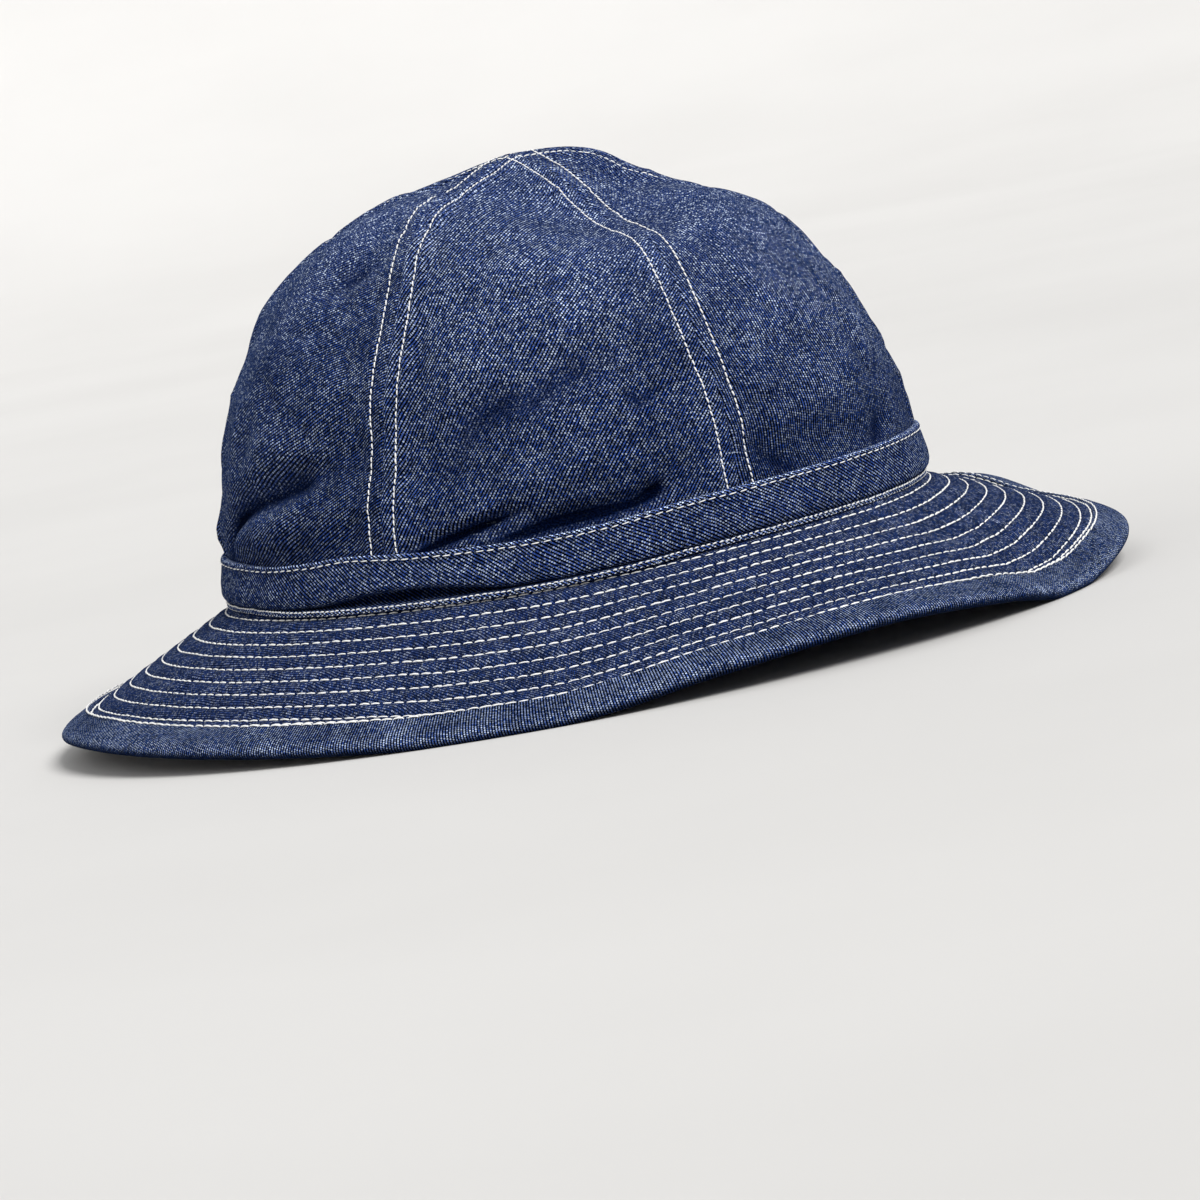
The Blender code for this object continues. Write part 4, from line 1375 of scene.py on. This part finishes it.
def thread_material():
    """Off-white two-ply thread, twisted."""
    n = Nodes("thread")
    x, y = n.cloth()
    ply = n.scaled(n.math("SINE", (x * 2.2 + y * 0.5) * (2 * np.pi)), -1.0, 1.0, 0.0, 1.0)
    soil = n.noise(n.vector(x / 6.0, y / 6.0), 3.0)
    colour = n.mix(n.scaled(soil, 0.35, 0.7, 0.0, 1.0), (0.97, 0.965, 0.94), (0.88, 0.88, 0.87))
    # painted shade in the groove between the two plies
    n.shade({"Base Color": n.times(colour, n.scaled(ply, 0.0, 1.0, 0.9, 1.0))})
    n.shade({"Roughness": n.scaled(soil, 0.3, 0.7, 0.6, 0.8), "Specular IOR Level": 0.3})
    n.shade({"Normal": n.relief(ply, 0.08, 0.5)})
    return n.material


def material(name):
    """The material of this name, made when a piece first asks for it."""
    found = bpy.data.materials.get(name + "_cloth")
    if found:
        return found
    made = thread_material() if name == "thread" else denim(name, **WEAVES[name])
    made.name = name + "_cloth"
    return made


# Studio, in metres

FLOOR_RINGS = (0.4, 1.2, 2.3)  # how far the floor's rings lie from its middle
WALL_RADIUS = 2.6  # of the curve from the floor up to the wall
BOWL_STEPS = 96
WORLD = (0.96, 0.98, 1.0, 0.50)  # colour and strength
LIGHTS = (
    # name, direction it comes from, angle in degrees, strength
    ("key", (0.75, 0.55, 0.95), 30.0, 2.9),
    ("fill", (0.9, -0.8, 0.5), 60.0, 0.42),
)
CAMERA = dict(azimuth=92.0, elevation=6.5, roll=-11.0, distance=1.5, lens=158.2)
CAMERA_TARGET = (0.00165, 0.0029, 0.0153)


def stage_bowl():
    """A pale floor that curves up into a pale wall all round."""
    rings = [(reach, 0.0) for reach in FLOOR_RINGS]
    for a in np.radians(np.linspace(10, 85, 12)):
        rings.append((FLOOR_RINGS[-1] + WALL_RADIUS * np.sin(a), WALL_RADIUS * (1 - np.cos(a))))
    turns = np.linspace(0, 2 * np.pi, BOWL_STEPS, endpoint=False)
    points = [(reach * np.cos(t), reach * np.sin(t), z) for reach, z in rings for t in turns] + [(0, 0, 0)]
    around = [(k, (k + 1) % BOWL_STEPS) for k in range(BOWL_STEPS)]
    faces = []
    for low in range(0, len(points) - 1 - BOWL_STEPS, BOWL_STEPS):
        high = low + BOWL_STEPS
        faces += [(low + k, high + k, high + beside, low + beside) for k, beside in around]
    faces += [(len(points) - 1, k, beside) for k, beside in around]
    mesh = bpy.data.meshes.new("stage")
    mesh.from_pydata(points, [], faces)
    mesh.shade_smooth()
    mesh.materials.append(stage_paint())
    obj = bpy.data.objects.new("stage", mesh)
    bpy.context.scene.collection.objects.link(obj)


def stage_paint():
    """A faintly mottled pale grey."""
    n = Nodes("stage_paint")
    spot = n.add("NewGeometry", {}, "Position")
    mottle = n.add("TexNoise", {"Vector": spot, "Scale": 3.0, "Detail": 4.0})
    tint = n.mix(n.scaled(mottle, 0.35, 0.65, 0.0, 1.0), (0.655, 0.642, 0.625), (0.685, 0.672, 0.655))
    n.shade({"Base Color": tint, "Roughness": 0.95, "Specular IOR Level": 0.1})
    return n.material


def studio():
    """The view's colours, the world's light and the two lights."""
    scene = bpy.context.scene
    scene.view_settings.view_transform = "Standard"
    world = bpy.data.worlds.new("studio")
    world.use_nodes = True
    background = world.node_tree.nodes["Background"]
    background.inputs["Color"].default_value = (*WORLD[:3], 1)
    background.inputs["Strength"].default_value = WORLD[3]
    scene.world = world
    for name, direction, angle, strength in LIGHTS:
        light = bpy.data.lights.new(name, "SUN")
        light.angle = np.radians(angle)
        light.energy = strength
        obj = bpy.data.objects.new(name, light)
        obj.matrix_world = looking(np.array(direction) * 2.0, -np.array(direction))
        scene.collection.objects.link(obj)


def looking(spot, toward, roll=0.0):
    """The matrix of a camera or light at this spot that faces this way, turned by the roll."""
    back = -unit(toward)
    right = unit(np.cross((0, 0, 1), back))
    up = np.cross(back, right)
    angle = np.radians(roll)
    matrix = np.eye(4)
    matrix[:3, 0] = right * np.cos(angle) + up * np.sin(angle)
    matrix[:3, 1] = up * np.cos(angle) - right * np.sin(angle)
    matrix[:3, 2] = back
    matrix[:3, 3] = spot
    return Matrix(matrix.tolist())


def camera():
    """The photo's camera."""
    azimuth, elevation = np.radians(CAMERA["azimuth"]), np.radians(CAMERA["elevation"])
    level = np.cos(elevation)
    toward_camera = np.array([np.sin(azimuth) * level, -np.cos(azimuth) * level, np.sin(elevation)])
    data = bpy.data.cameras.new("camera")
    data.lens = CAMERA["lens"]
    data.sensor_width = 36.0
    data.clip_end = 50.0
    obj = bpy.data.objects.new("camera", data)
    spot = np.array(CAMERA_TARGET) + CAMERA["distance"] * toward_camera
    obj.matrix_world = looking(spot, -toward_camera, CAMERA["roll"])
    bpy.context.scene.collection.objects.link(obj)
    bpy.context.scene.camera = obj


# The hat


def dress(obj, nodes=()):
    """Ties a piece to the hat's body, and hides the solids that it stands for."""
    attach(obj, "root")
    if nodes:
        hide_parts(*nodes)


def main():
    """Sets the stage, then makes each piece of cloth and each group of stitches."""
    camera()
    studio()
    stage_bowl()
    for number in range(len(CROWN_SEAMS)):
        dress(crown_panel(number), [f"crown_panel_{number + 1}"])
    dress(crown_band(), ["crown_band"])
    upper = brim_ply("brim_top_cloth", brim_top, PLIES_APART, BRIM_COLUMNS, BRIM_MESH_ROWS, 8)
    dress(upper, ["brim_upper"])
    lower = brim_ply("brim_bottom_cloth", brim_bottom, -PLIES_APART, UNDER_COLUMNS, UNDER_MESH_ROWS, 10)
    dress(lower, ["brim_under"])
    dress(brim_binding(), ["brim_binding"])
    dress(sew("crown_stitches", crown_cloth, 1, crown_rows(), 101))
    dress(sew("band_stitches", band_cloth_surface, 1, band_rows(), 102))
    rows = brim_rows()
    dress(sew("brim_stitches", brim_top, -1, rows[:SINGLE_ROWS], 103))
    dress(sew("edge_stitches", outer_row_surface, -1, rows[SINGLE_ROWS:], 104))
    dress(sew("brim_back_stitches", brim_bottom, 1, rows, 105, sides=4))


main()
